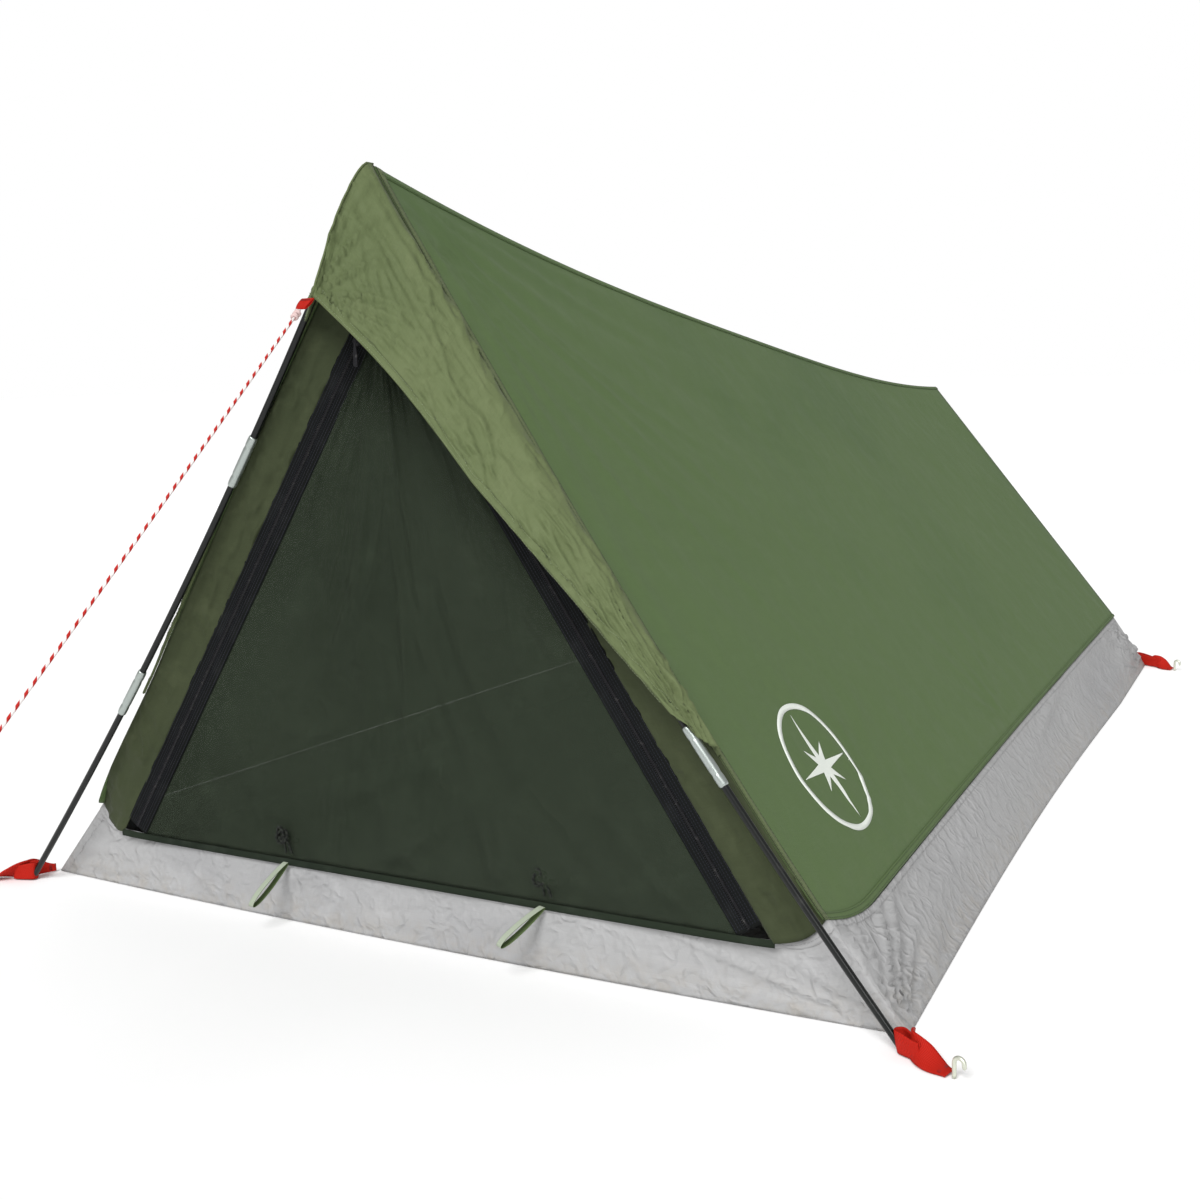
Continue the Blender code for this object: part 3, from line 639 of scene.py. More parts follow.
def knotRings(name, centre, along, settings, mat, body="tent"):
    # Turns of cord wound round the line, each a torus leaning a little.
    bm = bmesh.new()
    for i in range(settings["turns"]):
        shift = (i - (settings["turns"] - 1) / 2) * settings["pitch"]
        seat = along.to_track_quat("Z", "X").to_matrix().to_4x4()
        lean = Matrix.Rotation(settings["lean"] * (1 if i % 2 else -1), 4, "X")
        ring = bmesh.ops.create_circle(bm, segments=8, radius=settings["cord"], matrix=(
            Matrix.Translation((settings["radius"], 0, 0)) @ Matrix.Rotation(math.pi / 2, 4, "X")))
        edges = list({edge for vert in ring["verts"] for edge in vert.link_edges})
        spun = bmesh.ops.spin(bm, geom=ring["verts"] + edges, cent=(0, 0, 0), axis=(0, 0, 1),
                              angle=2 * math.pi, steps=20, use_merge=True)
        loose = [vert for vert in bm.verts if not vert.tag]
        bmesh.ops.transform(bm, verts=loose, matrix=Matrix.Translation(centre + along * shift) @ seat @ lean)
        for vert in bm.verts:
            vert.tag = True
    bmesh.ops.remove_doubles(bm, verts=bm.verts, dist=1e-6)
    bmesh.ops.recalc_face_normals(bm, faces=bm.faces)
    return makePiece(name, bm, mat, body)


knotLook = {"turns": 4, "pitch": 0.0026, "radius": 0.0026, "cord": 0.0016, "lean": 0.28}
topKnot = knotRings("guyKnotTop", tabTip + lineDown * 0.009, lineDown, knotLook, knotMat)
endKnot = knotRings("guyKnotEnd", runnerPlace - lineDown * 0.0145 - Vector((guyLook["strand"], 0, 0)), lineDown,
                    {"turns": 3, "pitch": 0.0022, "radius": 0.0022, "cord": 0.0014, "lean": 0.3}, ropeMat)

pegLook = {"radius": 0.0022, "foot": 0.0006, "top": 0.016, "hook": 0.0055}


def buildPeg(name, place, away, node):
    path = [place + Vector((0, 0, pegLook["foot"] + (pegLook["top"] - pegLook["foot"]) * i / 4)) for i in range(5)]
    for i in range(1, 15):
        turn = math.pi * i / 14
        rise = Vector((0, 0, pegLook["top"] + pegLook["hook"] * math.sin(turn)))
        path.append(place + rise + away * pegLook["hook"] * (1 - math.cos(turn)))
    path.append(path[-1] + Vector((0, 0, -0.002)))
    path.append(path[-1] + Vector((0, 0, -0.002)))
    radii = [pegLook["radius"]] * (len(path) - 1) + [pegLook["radius"] * 0.7]
    bm = sweepTube(path, radii, 14, away.cross(Vector((0, 0, 1))))
    return makePiece(name, bm, steelMat, stands=[node])


guyPeg = buildPeg("guyPegHead", Vector((0, pegCentre.y, 0)), Vector((0, -1, 0)), "guy_peg")

runnerLook = {"size": (0.012, 0.024, 0.006), "hole": 0.0018}


def buildRunner():
    # A small plate slide with a waisted middle and two rimmed holes.
    along = lineDown.to_track_quat("Z", "X").to_matrix().to_4x4()
    wide = 0.024
    seat = Matrix.Translation(runnerPlace)
    lo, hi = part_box("guy_runner")
    wide = hi.x - lo.x
    bm = bmesh.new()
    bmesh.ops.create_cube(bm, size=1.0)
    bmesh.ops.subdivide_edges(bm, edges=bm.edges[:], cuts=5, use_grid_fill=True)
    for vert in bm.verts:
        waist = 1.0 - 0.22 * (1 - (2 * vert.co.x) ** 2)
        vert.co.y *= waist
        vert.co.x *= wide
        vert.co.y *= 0.0115
        vert.co.z *= 0.0058
    bmesh.ops.bevel(bm, geom=[e for e in bm.edges if e.calc_face_angle(0) > 1.0], offset=0.0009, segments=3,
                    affect="EDGES", profile=0.5, material=-1)
    spin = Vector((1, 0, 0))
    turn = Matrix((spin, lineDown.cross(spin), lineDown)).transposed().to_4x4()
    bmesh.ops.transform(bm, verts=bm.verts, matrix=seat @ turn)
    body = makePiece("guyRunner", bm, plasticMat, "runner", stands=["guy_runner"])
    body.data.set_sharp_from_angle(angle=math.radians(40))
    bm = bmesh.new()
    for side in (-1, 1):
        for end in (-1, 1):
            ring = bmesh.ops.create_circle(bm, segments=8, radius=0.0006, matrix=(
                Matrix.Translation((0.0021, 0, 0)) @ Matrix.Rotation(math.pi / 2, 4, "X")))
            edges = list({edge for vert in ring["verts"] for edge in vert.link_edges})
            bmesh.ops.spin(bm, geom=ring["verts"] + edges, cent=(0, 0, 0), axis=(0, 0, 1),
                           angle=2 * math.pi, steps=18, use_merge=True)
            fresh = [vert for vert in bm.verts if not vert.tag]
            place = Matrix.Translation(runnerPlace + Vector((side * guyLook["strand"], 0, 0))
                                       + lineDown * end * 0.0029) @ turn
            bmesh.ops.transform(bm, verts=fresh, matrix=place)
            for vert in bm.verts:
                vert.tag = True
    bmesh.ops.remove_doubles(bm, verts=bm.verts, dist=1e-6)
    bmesh.ops.recalc_face_normals(bm, faces=bm.faces)
    rims = makePiece("guyRunnerRims", bm, plasticMat, "runner")
    return body, rims


runner, runnerRims = buildRunner()
tuple(guyPath[0])
[tuple(p) for p in guyPath]
print(f"guy line built, {guyLength:.3f} m")


# ---- the tent's shape ----
roofLow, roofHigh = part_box("roof_right")
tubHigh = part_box("tub_right")[1]
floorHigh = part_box("floor_sheet")[1]
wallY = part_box("door_mesh")[0].y
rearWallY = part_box("rear_panel")[1].y
tent = {
    "length": 2 * floorHigh.y,
    "frontWidth": 2 * floorHigh.x,
    "rearWidth": 0.94,
    "ridgeFront": roofHigh.z,
    "ridgeRear": 0.598,
    "ridgeSag": 0.040,
    "seamFrontX": roofHigh.x,
    "seamRearX": 0.406,
    "seamFrontZ": 0.083,
    "seamRearZ": tubHigh.z,
    "sill": 0.0745,
    "sidePull": 0.013,
    "cornerRise": 0.024,
    "leftTuck": 0.015,
    "frontBow": 0.014,
}
zipFoot = Vector((0.4396, wallY, 0.079))
zipPeak = Vector((0.0, wallY, 0.751))
zipLook = {"tape": 0.0172, "start": 0.060, "doorTop": 0.028, "wallTop": 0.004, "foot": 0.010}
zipAlong = (zipFoot - zipPeak).normalized()
zipOut = Vector((-zipAlong.z, 0, zipAlong.x))
zipLength = (zipPeak - zipFoot).length


def floorSide(t):
    straight = (tent["frontWidth"] + (tent["rearWidth"] - tent["frontWidth"]) * t) / 2
    return straight - tent["sidePull"] * math.sin(math.pi * min(t / 0.8, 1.0))


def frontEdgeY(x):
    return -tent["length"] / 2 - tent["frontBow"] * (1 - (2 * x / tent["frontWidth"]) ** 2)


def cornerRise(away, reach):
    # the roof's lower front corner is rounded, so both seams climb as they near it
    return tent["cornerRise"] * max(1 - away / reach, 0.0) ** 2


def frontSeam(x):
    share = min(abs(x) / tent["seamFrontX"], 1.0)
    z = tent["sill"] + (tent["seamFrontZ"] - tent["sill"]) * share ** 12
    rise = cornerRise(tent["seamFrontX"] - abs(x), 0.06)
    return Vector((x * (1 - 0.68 * rise / tent["seamFrontX"]), -0.994 - tent["frontBow"] * (1 - share ** 4), z + rise))


def sideSeam(t):
    x = tent["seamFrontX"] + (tent["seamRearX"] - tent["seamFrontX"]) * t - 0.006 * math.sin(math.pi * t)
    y = -0.994 + 1.973 * t
    rise = cornerRise(1.973 * t, 0.13)
    return Vector((x - 0.68 * rise, y, tent["seamFrontZ"] + (tent["seamRearZ"] - tent["seamFrontZ"]) * t + rise))


def seamX(z):
    return tent["seamFrontX"] * (tent["ridgeFront"] - z) / (tent["ridgeFront"] - tent["seamFrontZ"])


def rearSeamX(z):
    return tent["seamRearX"] * (tent["ridgeRear"] - z) / (tent["ridgeRear"] - tent["seamRearZ"])


def roofFrontY(u):
    return -1.016 + 0.012 * u ** 4 - 0.013 * math.sin(math.pi * min(max(u, 0.0), 1.0)) ** 0.6


def tuck(z, side):
    # the left front edge is drawn in behind its pole
    if side > 0:
        return 0.0
    return tent["leftTuck"] * smoothStep((tent["ridgeFront"] - z) / 0.08) * smoothStep((z - 0.12) / 0.2)


def roofBase(u, v, side):
    low = sideSeam(v)
    x = 0.0015 + (low.x - 0.0015) * u
    y = roofFrontY(u) * (1 - v) + (1.015 - 0.029 * u) * v
    ridge = tent["ridgeFront"] + (tent["ridgeRear"] - tent["ridgeFront"]) * v
    z = ridge + (low.z + 0.001 - ridge) * u
    z -= tent["ridgeSag"] * (1 - abs(2 * v - 1) ** 3) * (1 - u) ** 2
    hollow = math.sin(math.pi * u) * math.sin(math.pi * v)
    x = max(x - tuck(z, side) * (1 - v) ** 4, 0.0015)
    return Vector((side * (x - 0.008 * hollow), y, z - 0.008 * hollow))


def hoodBase(u, v, side):
    peak = Vector((0.0, -1.021, 0.888))
    tab = Vector((0.0, -1.130, 0.744))
    z = peak.z + (0.270 - peak.z) * v
    seam = Vector((max(seamX(z) + 0.0015 - tuck(z, side), 0.0), roofFrontY((peak.z - z) / 0.805), z))
    end = Vector((seamX(0.318) - 0.003 - tuck(0.318, side), -1.056, 0.318))
    edge = tab.lerp(end, v)
    edge.z += 0.012 * math.sin(math.pi * min(v * 2.2, 1.0))
    out = Vector((0.64 * min(v * 6, 1), -0.63, 0.44)).normalized()
    # the left flap lies flatter than the right one
    swell = 0.016 if side > 0 else 0.001
    if side < 0:
        edge = edge.lerp(seam + Vector((-0.001, -0.004, 0.0)), smoothStep(v * 3.2))
    crown = swell * math.sin(math.pi * math.sqrt(u)) * (1 - 0.6 * v ** 6)
    place = seam.lerp(edge, u) + out * crown
    return Vector((side * place.x, place.y, place.z))


def zipPoint(down, across, side, y):
    place = zipPeak + zipAlong * down + zipOut * across
    return Vector((side * place.x, y, place.z))


def zipX(z, across):
    return (zipPeak.z - z) * zipFoot.x / (zipPeak.z - zipFoot.z) - across / zipAlong.z


def legPoint(foot, apex, bow, t):
    place = foot.lerp(apex, t)
    place.x -= 4 * bow * t * (1 - t)
    return place


def framePoint(shape, s):
    turn = shape["turn"]
    foot, apex, bow = shape["foot"], shape["apex"], shape["bow"]
    if abs(s) >= turn:
        place = legPoint(foot, apex, bow, 1 - abs(s))
        return Vector((math.copysign(place.x, s), place.y, place.z))
    right = legPoint(foot, apex, bow, 1 - turn)
    left = Vector((-right.x, right.y, right.z))
    k = (s + turn) / (2 * turn)
    return left * (1 - k) ** 2 + apex * 2 * k * (1 - k) + right * k ** 2


# ---- folds in cloth ----
def foldHeight(a, b, folds):
    # a and b are metres across and along the sheet.
    total = 0.0
    for fold in folds:
        kind = fold["kind"]
        if kind == "fan":
            da, db = a - fold["at"][0], b - fold["at"][1]
            reach = math.hypot(da, db)
            # the turn-over of the angle is kept off the sheet
            angle = math.atan2(db, -da if fold["at"][0] > 0.03 else da)
            wave = noise.noise(Vector((angle * fold["count"], reach * 1.6, fold["seed"])))
            ridge = max(0.0, 1 - abs(wave) * 3.2) ** 1.5
            swell = smoothStep(reach / fold["near"]) * (1 - smoothStep(reach / fold["reach"]))
            total += fold["depth"] * (ridge - 0.3) * swell
            continue
        turn = math.radians(fold["angle"])
        p = a * math.cos(turn) + b * math.sin(turn)
        q = -a * math.sin(turn) + b * math.cos(turn)
        wave = noise.noise(Vector((p / fold["long"], q / fold["wide"], fold["seed"])))
        if kind == "soft":
            total += fold["depth"] * wave
        else:
            ridge = max(0.0, 1 - abs(wave) * 3.5) ** 1.4
            patch = noise.noise(Vector((p / fold["long"] * 0.7, q / fold["long"] * 0.9, fold["seed"] + 7.0)))
            total += fold["depth"] * ridge * smoothStep(0.5 + patch * 1.6)
    return total


def sewnMask(u, v, size, sewn, margin):
    # 0 at the edges that are sewn down, 1 inside the sheet.
    edges = {"left": u * size[0], "right": (1 - u) * size[0], "low": v * size[1], "high": (1 - v) * size[1]}
    mask = 1.0
    for edge in sewn:
        mask *= smoothStep(edges[edge] / margin)
    return mask


def foldedSurface(base, look, side=1, seedShift=0.0):
    # base(u, v) pushed along its own normal by the folds.
    size = look["size"]
    folds = [dict(fold, seed=fold["seed"] + seedShift) for fold in look["folds"]]
    step = 0.002

    def place(u, v):
        at = base(u, v)
        lift = foldHeight(u * size[0], v * size[1], folds) * sewnMask(u, v, size, look["sewn"], look["margin"])
        lift = min(lift, look.get("highest", 1.0))
        u0, u1 = max(u - step, 0.0), min(u + step, 1.0)
        v0, v1 = max(v - step, 0.0), min(v + step, 1.0)
        across = base(u1, v) - base(u0, v)
        along = base(u, v1) - base(u, v0)
        normal = across.cross(along)
        if normal.length > 1e-12:
            normal.normalize()
            if normal.dot(look["outward"](side)) < 0:
                normal.negate()
            at = at + normal * lift
        return at

    return place


def clothSheet(name, place, look, mat, node, side=1, body="tent"):
    outward = look["outward"](side)
    bm = gridCloth(look["grid"][0], look["grid"][1], place, look["size"], outward)
    bmesh.ops.remove_doubles(bm, verts=bm.verts, dist=1e-5)
    obj = makePiece(name, bm, mat, body, stands=[node] if node else ())
    thicken(obj, look["thickness"])
    look.get("area")
    return obj


def normalAt(place, u, v, outward):
    step = 0.003
    across = place(min(u + step, 1.0), v) - place(max(u - step, 0.0), v)
    along = place(u, min(v + step, 1.0)) - place(u, max(v - step, 0.0))
    normal = across.cross(along).normalized()
    return normal if normal.dot(outward) > 0 else -normal


# ---- roof ----
roofLook = {
    "size": (0.96, 2.03), "flat": (0.97, 2.04), "grid": (100, 190), "thickness": 0.0005, "margin": 0.035,
    "sewn": ("left", "right", "low", "high"), "area": 1.62,
    "outward": lambda side: Vector((0.84 * side, 0, 0.54)),
    "folds": [
        {"kind": "fan", "at": (0.0, 0.0), "count": 7.0, "near": 0.10, "reach": 1.1, "depth": 0.0045, "seed": 3.1},
        {"kind": "crease", "angle": 84, "wide": 0.060, "long": 0.60, "depth": 0.0011, "seed": 11.0},
        {"kind": "soft", "angle": 62, "wide": 0.16, "long": 0.9, "depth": 0.0040, "seed": 5.2},
        {"kind": "fan", "at": (0.93, 0.35), "count": 3.0, "near": 0.14, "reach": 0.42, "depth": 0.0022, "seed": 8.3},
        {"kind": "fan", "at": (0.93, 0.95), "count": 3.0, "near": 0.03, "reach": 0.34, "depth": 0.0030, "seed": 9.6},
        {"kind": "soft", "angle": 10, "wide": 0.035, "long": 0.12, "depth": 0.0010, "seed": 2.7},
    ],
}
roofPlaces = {}
for side, word in ((-1, "Left"), (1, "Right")):
    place = foldedSurface(lambda u, v, s=side: roofBase(u, v, s), roofLook, side, 20.0 if side < 0 else 0.0)
    roofPlaces[side] = place
    clothSheet(f"roofPanel{word}", place, roofLook, clothMats["roof"], f"roof_{word.lower()}",
               side)
print("roof built")

# ---- hood ----
hoodLook = {
    "size": (0.20, 0.69), "flat": (0.21, 0.70), "grid": (44, 150), "thickness": 0.0005, "margin": 0.012,
    "sewn": ("left", "right"), "area": 0.062,
    "outward": lambda side: Vector((0.55 * side, -0.67, 0.5)),
    "folds": [
        {"kind": "fan", "at": (0.20, 0.0), "count": 5.0, "near": 0.02, "reach": 0.26, "depth": 0.0120, "seed": 1.4},
        {"kind": "crease", "angle": 60, "wide": 0.020, "long": 0.07, "depth": 0.0046, "seed": 4.9},
        {"kind": "crease", "angle": 82, "wide": 0.022, "long": 0.20, "depth": 0.0046, "seed": 6.3},
        {"kind": "crease", "angle": 118, "wide": 0.018, "long": 0.05, "depth": 0.0034, "seed": 9.9},
        {"kind": "soft", "angle": 78, "wide": 0.045, "long": 0.20, "depth": 0.0040, "seed": 2.2},
    ],
}
hoodPlaces = {}
for side, word in ((-1, "Left"), (1, "Right")):
    flatter = [dict(fold, depth=fold["depth"] * 0.25) for fold in hoodLook["folds"]]
    sideLook = hoodLook if side > 0 else dict(hoodLook, folds=flatter, flat=(0.11, 0.66), area=0.0235)
    place = foldedSurface(lambda u, v, s=side: hoodBase(u, v, s), sideLook, side, 31.0 if side < 0 else 0.0)
    hoodPlaces[side] = place
    clothSheet(f"hoodPanel{word}", place, sideLook, clothMats["hood"], f"hood_{word.lower()}",
               side)
print("hood built")

# ---- tub walls and floor ----
tubTop = 0.0045     # the wall's foot stands on the floor sheet's folded edge


def sideWallBase(u, v, side):
    base = Vector((floorSide(v), -tent["length"] / 2 + tent["length"] * v, 0.0006))
    top = sideSeam(v)
    place = base.lerp(top, u)
    return Vector((side * place.x, place.y, place.z))


def frontWallBase(u, v):
    baseX = (2 * v - 1) * tent["frontWidth"] / 2
    base = Vector((baseX, frontEdgeY(baseX), 0.0006))
    return base.lerp(frontSeam((2 * v - 1) * tent["seamFrontX"]), u)


def rearWallBase(u, v):
    base = Vector(((2 * v - 1) * tent["rearWidth"] / 2, tent["length"] / 2, 0.0006))
    top = Vector(((2 * v - 1) * tent["seamRearX"], 0.979 + 0.003 * (1 - (2 * v - 1) ** 4), tent["seamRearZ"]))
    return base.lerp(top, u)


tubSideLook = {
    "size": (0.105, 2.0), "flat": (0.12, 2.02), "grid": (22, 300), "thickness": 0.0006, "margin": 0.016,
    "sewn": ("left", "right", "low", "high"), "area": 0.22,
    "outward": lambda side: Vector((side, 0, 0.3)),
    "folds": [
        {"kind": "fan", "at": (-0.01, -0.02), "count": 5.0, "near": 0.04, "reach": 0.80, "depth": 0.0100, "seed": 1.7},
        {"kind": "fan", "at": (-0.01, 2.0), "count": 5.0, "near": 0.04, "reach": 0.70, "depth": 0.0100, "seed": 5.4},
        {"kind": "crease", "angle": 86, "wide": 0.055, "long": 0.70, "depth": 0.0070, "seed": 2.2},
        {"kind": "soft", "angle": 82, "wide": 0.070, "long": 0.40, "depth": 0.0080, "seed": 8.8},
    ],
}
tubFrontLook = {
    "highest": 0.0015,      # the tie loops swing back against this wall
    "size": (0.08, 1.18), "flat": (0.09, 1.20), "grid": (20, 190), "thickness": 0.0006, "margin": 0.014,
    "sewn": ("left", "right", "low", "high"), "area": 0.09,
    "outward": lambda side: Vector((0, -1, 0.3)),
    "folds": [
        {"kind": "fan", "at": (-0.01, 1.20), "count": 6.0, "near": 0.04, "reach": 0.62, "depth": 0.0105, "seed": 3.3},
        {"kind": "fan", "at": (-0.01, -0.02), "count": 6.0, "near": 0.04, "reach": 0.55, "depth": 0.0095, "seed": 6.1},
        {"kind": "fan", "at": (0.085, 0.41), "count": 3.0, "near": 0.01, "reach": 0.12, "depth": -0.0050, "seed": 4.4},
        {"kind": "fan", "at": (0.085, 0.77), "count": 3.0, "near": 0.01, "reach": 0.12, "depth": -0.0050, "seed": 7.4},
        {"kind": "crease", "angle": 83, "wide": 0.034, "long": 0.45, "depth": 0.0055, "seed": 5.5},
        {"kind": "soft", "angle": 85, "wide": 0.05, "long": 0.25, "depth": 0.0045, "seed": 1.1},
    ],
}
tubRearLook = dict(tubFrontLook, size=(0.10, 0.93), flat=(0.11, 0.95), grid=(20, 140), area=0.094,
                   outward=lambda side: Vector((0, 1, 0.3)))
tubRearLook["folds"] = [dict(fold, at=(fold["at"][0], fold["at"][1] * 0.79)) if "at" in fold else fold
                        for fold in tubFrontLook["folds"]]
floorLook = {
    "size": (1.15, 2.0), "flat": (1.2, 2.02), "grid": (60, 100), "thickness": 0.0005, "margin": 0.02,
    "sewn": ("left", "right", "low", "high"), "area": 2.15,
    "outward": lambda side: Vector((0, 0, 1)),
    "folds": [
        {"kind": "crease", "angle": 30, "wide": 0.09, "long": 0.5, "depth": 0.0030, "seed": 2.0},
        {"kind": "crease", "angle": 110, "wide": 0.07, "long": 0.4, "depth": 0.0025, "seed": 4.0},
    ],
}
tubPlaces = {}
for side, word in ((-1, "Left"), (1, "Right")):
    place = foldedSurface(lambda u, v, s=side: sideWallBase(u, v, s), tubSideLook, side, 13.0 if side < 0 else 0.0)
    tubPlaces[side] = place
    clothSheet(f"tubWall{word}", place, tubSideLook, clothMats["tub"], f"tub_{word.lower()}", side)
frontWallPlace = foldedSurface(frontWallBase, tubFrontLook)
clothSheet("tubWallFront", frontWallPlace, tubFrontLook, clothMats["tub"], "tub_front")
rearWallPlace = foldedSurface(rearWallBase, tubRearLook, 1, 40.0)
clothSheet("tubWallRear", rearWallPlace, tubRearLook, clothMats["tub"], "tub_rear")


def floorBase(u, v):
    half = floorSide(v) - 0.001
    x = (2 * u - 1) * half
    y = -tent["length"] / 2 + tent["length"] * v
    y += (frontEdgeY(x) + tent["length"] / 2) * (1 - v) ** 8
    return Vector((x, y, 0.0012))


clothSheet("floorSheet", foldedSurface(floorBase, floorLook), floorLook, clothMats["tub"], "floor_sheet")
print("tub built")

# ---- door wall ----
panelLook = {
    "size": (0.10, 0.80), "flat": (0.14, 0.80), "grid": (24, 150), "thickness": 0.0005, "margin": 0.006,
    "sewn": ("left", "right"), "area": 0.062,
    "outward": lambda side: Vector((0, -1, 0)),
    "folds": [
        {"kind": "crease", "angle": 20, "wide": 0.018, "long": 0.06, "depth": 0.0042, "seed": 3.0},
        {"kind": "crease", "angle": -25, "wide": 0.015, "long": 0.05, "depth": 0.0022, "seed": 6.0},
        {"kind": "crease", "angle": 8, "wide": 0.009, "long": 0.07, "depth": 0.0018, "seed": 4.0},
        {"kind": "soft", "angle": 85, "wide": 0.03, "long": 0.2, "depth": 0.0030, "seed": 8.0},
    ],
}
sillZ = tent["sill"] + 0.002


def frontPanelBase(u, v, side):
    corner = zipX(sillZ, zipLook["tape"]) * (1 - u) + (tent["seamFrontX"] - 0.001) * u
    lowZ = frontSeam(corner).z + 0.001
    z = lowZ + (tent["ridgeFront"] - 0.012 - lowZ) * v
    inner = max(zipX(z, zipLook["tape"] - 0.002), 0.0)
    outer = max(seamX(z) + 0.0005 - tuck(z, side), inner)
    x = inner + (outer - inner) * u
    share = (tent["ridgeFront"] - z) / (tent["ridgeFront"] - tent["seamFrontZ"])
    y = wallY - 0.0002 + (roofFrontY(share) + 0.0008 - wallY) * u ** 2
    foot = min(1.0, (1 - v) * 40)
    low = frontSeam(x).y + 0.001
    return Vector((side * x, y + (low - y) * (1 - smoothStep(v * 14)) * foot * u, z))


for side, word in ((-1, "Left"), (1, "Right")):
    place = foldedSurface(lambda u, v, s=side: frontPanelBase(u, v, s), panelLook, side, side * 9.0)
    clothSheet(f"frontPanel{word}", place, panelLook, clothMats["wall"], f"front_panel_{word.lower()}",
               side)

doorLook = {
    "size": (0.84, 0.63), "flat": (0.85, 0.63), "grid": (110, 90), "thickness": 0.0004, "margin": 0.03,
    "sewn": ("left", "right", "low", "high"), "area": 0.275,
    "outward": lambda side: Vector((0, -1, 0)),
    "folds": [
        {"kind": "crease", "angle": 30, "wide": 0.09, "long": 0.35, "depth": 0.0065, "seed": 3.0},
        {"kind": "crease", "angle": 115, "wide": 0.08, "long": 0.30, "depth": 0.0060, "seed": 5.0},
        {"kind": "crease", "angle": 80, "wide": 0.06, "long": 0.22, "depth": 0.0050, "seed": 12.0},
        {"kind": "soft", "angle": 45, "wide": 0.14, "long": 0.3, "depth": 0.0030, "seed": 7.0},
    ],
}


def doorBase(u, v):
    low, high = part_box("door_mesh")
    z = low.z - 0.002 + (high.z + 0.010 - low.z) * v
    half = max(zipX(z, 0.002 - zipLook["tape"]), 0.003)
    return Vector(((2 * u - 1) * half, wallY + 0.0006, z))


clothSheet("doorNet", foldedSurface(doorBase, doorLook), doorLook, netMat, "door_mesh", body="door")

# ---- rear wall ----
rearLook = {
    "size": (0.75, 0.27), "flat": (0.80, 0.27), "grid": (80, 40), "thickness": 0.0005, "margin": 0.02,
    "sewn": ("left", "right", "low", "high"), "area": 0.164,
    "outward": lambda side: Vector((0, 1, 0)),
    "folds": [
        {"kind": "crease", "angle": 70, "wide": 0.06, "long": 0.2, "depth": 0.0030, "seed": 3.0},
        {"kind": "soft", "angle": 20, "wide": 0.10, "long": 0.3, "depth": 0.0040, "seed": 5.0},
    ],
}
ventLook = dict(rearLook, size=(0.38, 0.21), flat=(0.40, 0.22), grid=(50, 30), area=0.050)


def rearPlace(z, s):
    half = rearSeamX(z) - 0.0015
    share = (tent["ridgeRear"] - z) / (tent["ridgeRear"] - tent["seamRearZ"])
    edgeY = 1.015 - 0.029 * share - 0.004
    return Vector((s * half, rearWallY + (edgeY - rearWallY) * abs(s) ** 3, z))


def rearPanelBase(u, v):
    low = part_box("rear_panel")
    z0 = tent["seamRearZ"] - 0.003
    return rearPlace(z0 + (low[1].z + 0.004 - z0) * v, 2 * u - 1)


def ventBase(u, v):
    low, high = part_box("rear_vent_mesh")
    return rearPlace(low.z - 0.004 + (high.z + 0.020 - low.z) * v, 2 * u - 1)


clothSheet("rearPanel", foldedSurface(rearPanelBase, rearLook), rearLook, clothMats["roof"], "rear_panel")
clothSheet("rearVentNet", foldedSurface(ventBase, ventLook), ventLook, netMat, "rear_vent_mesh")
print("walls built")


# ---- seams: felled strips, bindings, a dark cord painted as the shadow gap at the hood's seam, and stitch rows ----
seamLook = {"strip": 0.013, "lift": 0.0012, "seamShadowCord": 0.0009}
stitchLook = {"pitch": 0.0046, "length": 0.0032, "radius": 0.00034}
fineStitch = {"pitch": 0.0034, "length": 0.0023, "radius": 0.00028}


def surfaceRow(place, path, lift, outward):
    # Points and normals a little above a sheet, along (u, v) places.
    points, normals = [], []
    for u, v in path:
        normal = normalAt(place, u, v, outward)
        points.append(place(u, v) + normal * lift)
        normals.append(normal)
    return points, normals


def stripOn(name, place, start, end, width, rows, outward, mat, lift, body="tent", thickness=0.0005):
    # A sewn strip between two (u, v) lines of a sheet, standing just above it.
    def onSheet(s, t):
        u = start[0](t) + (end[0](t) - start[0](t)) * s
        v = start[1](t) + (end[1](t) - start[1](t)) * s
        crown = math.sin(math.pi * s) * 0.0004
        return place(u, v) + normalAt(place, u, v, outward) * (lift + crown)

    bm = gridCloth(4, rows, onSheet, (width, 1.0), outward)
    obj = makePiece(name, bm, mat, body)
    thicken(obj, thickness)
    return obj


def spread(a, b, count):
    return [a + (b - a) * i / count for i in range(count + 1)]


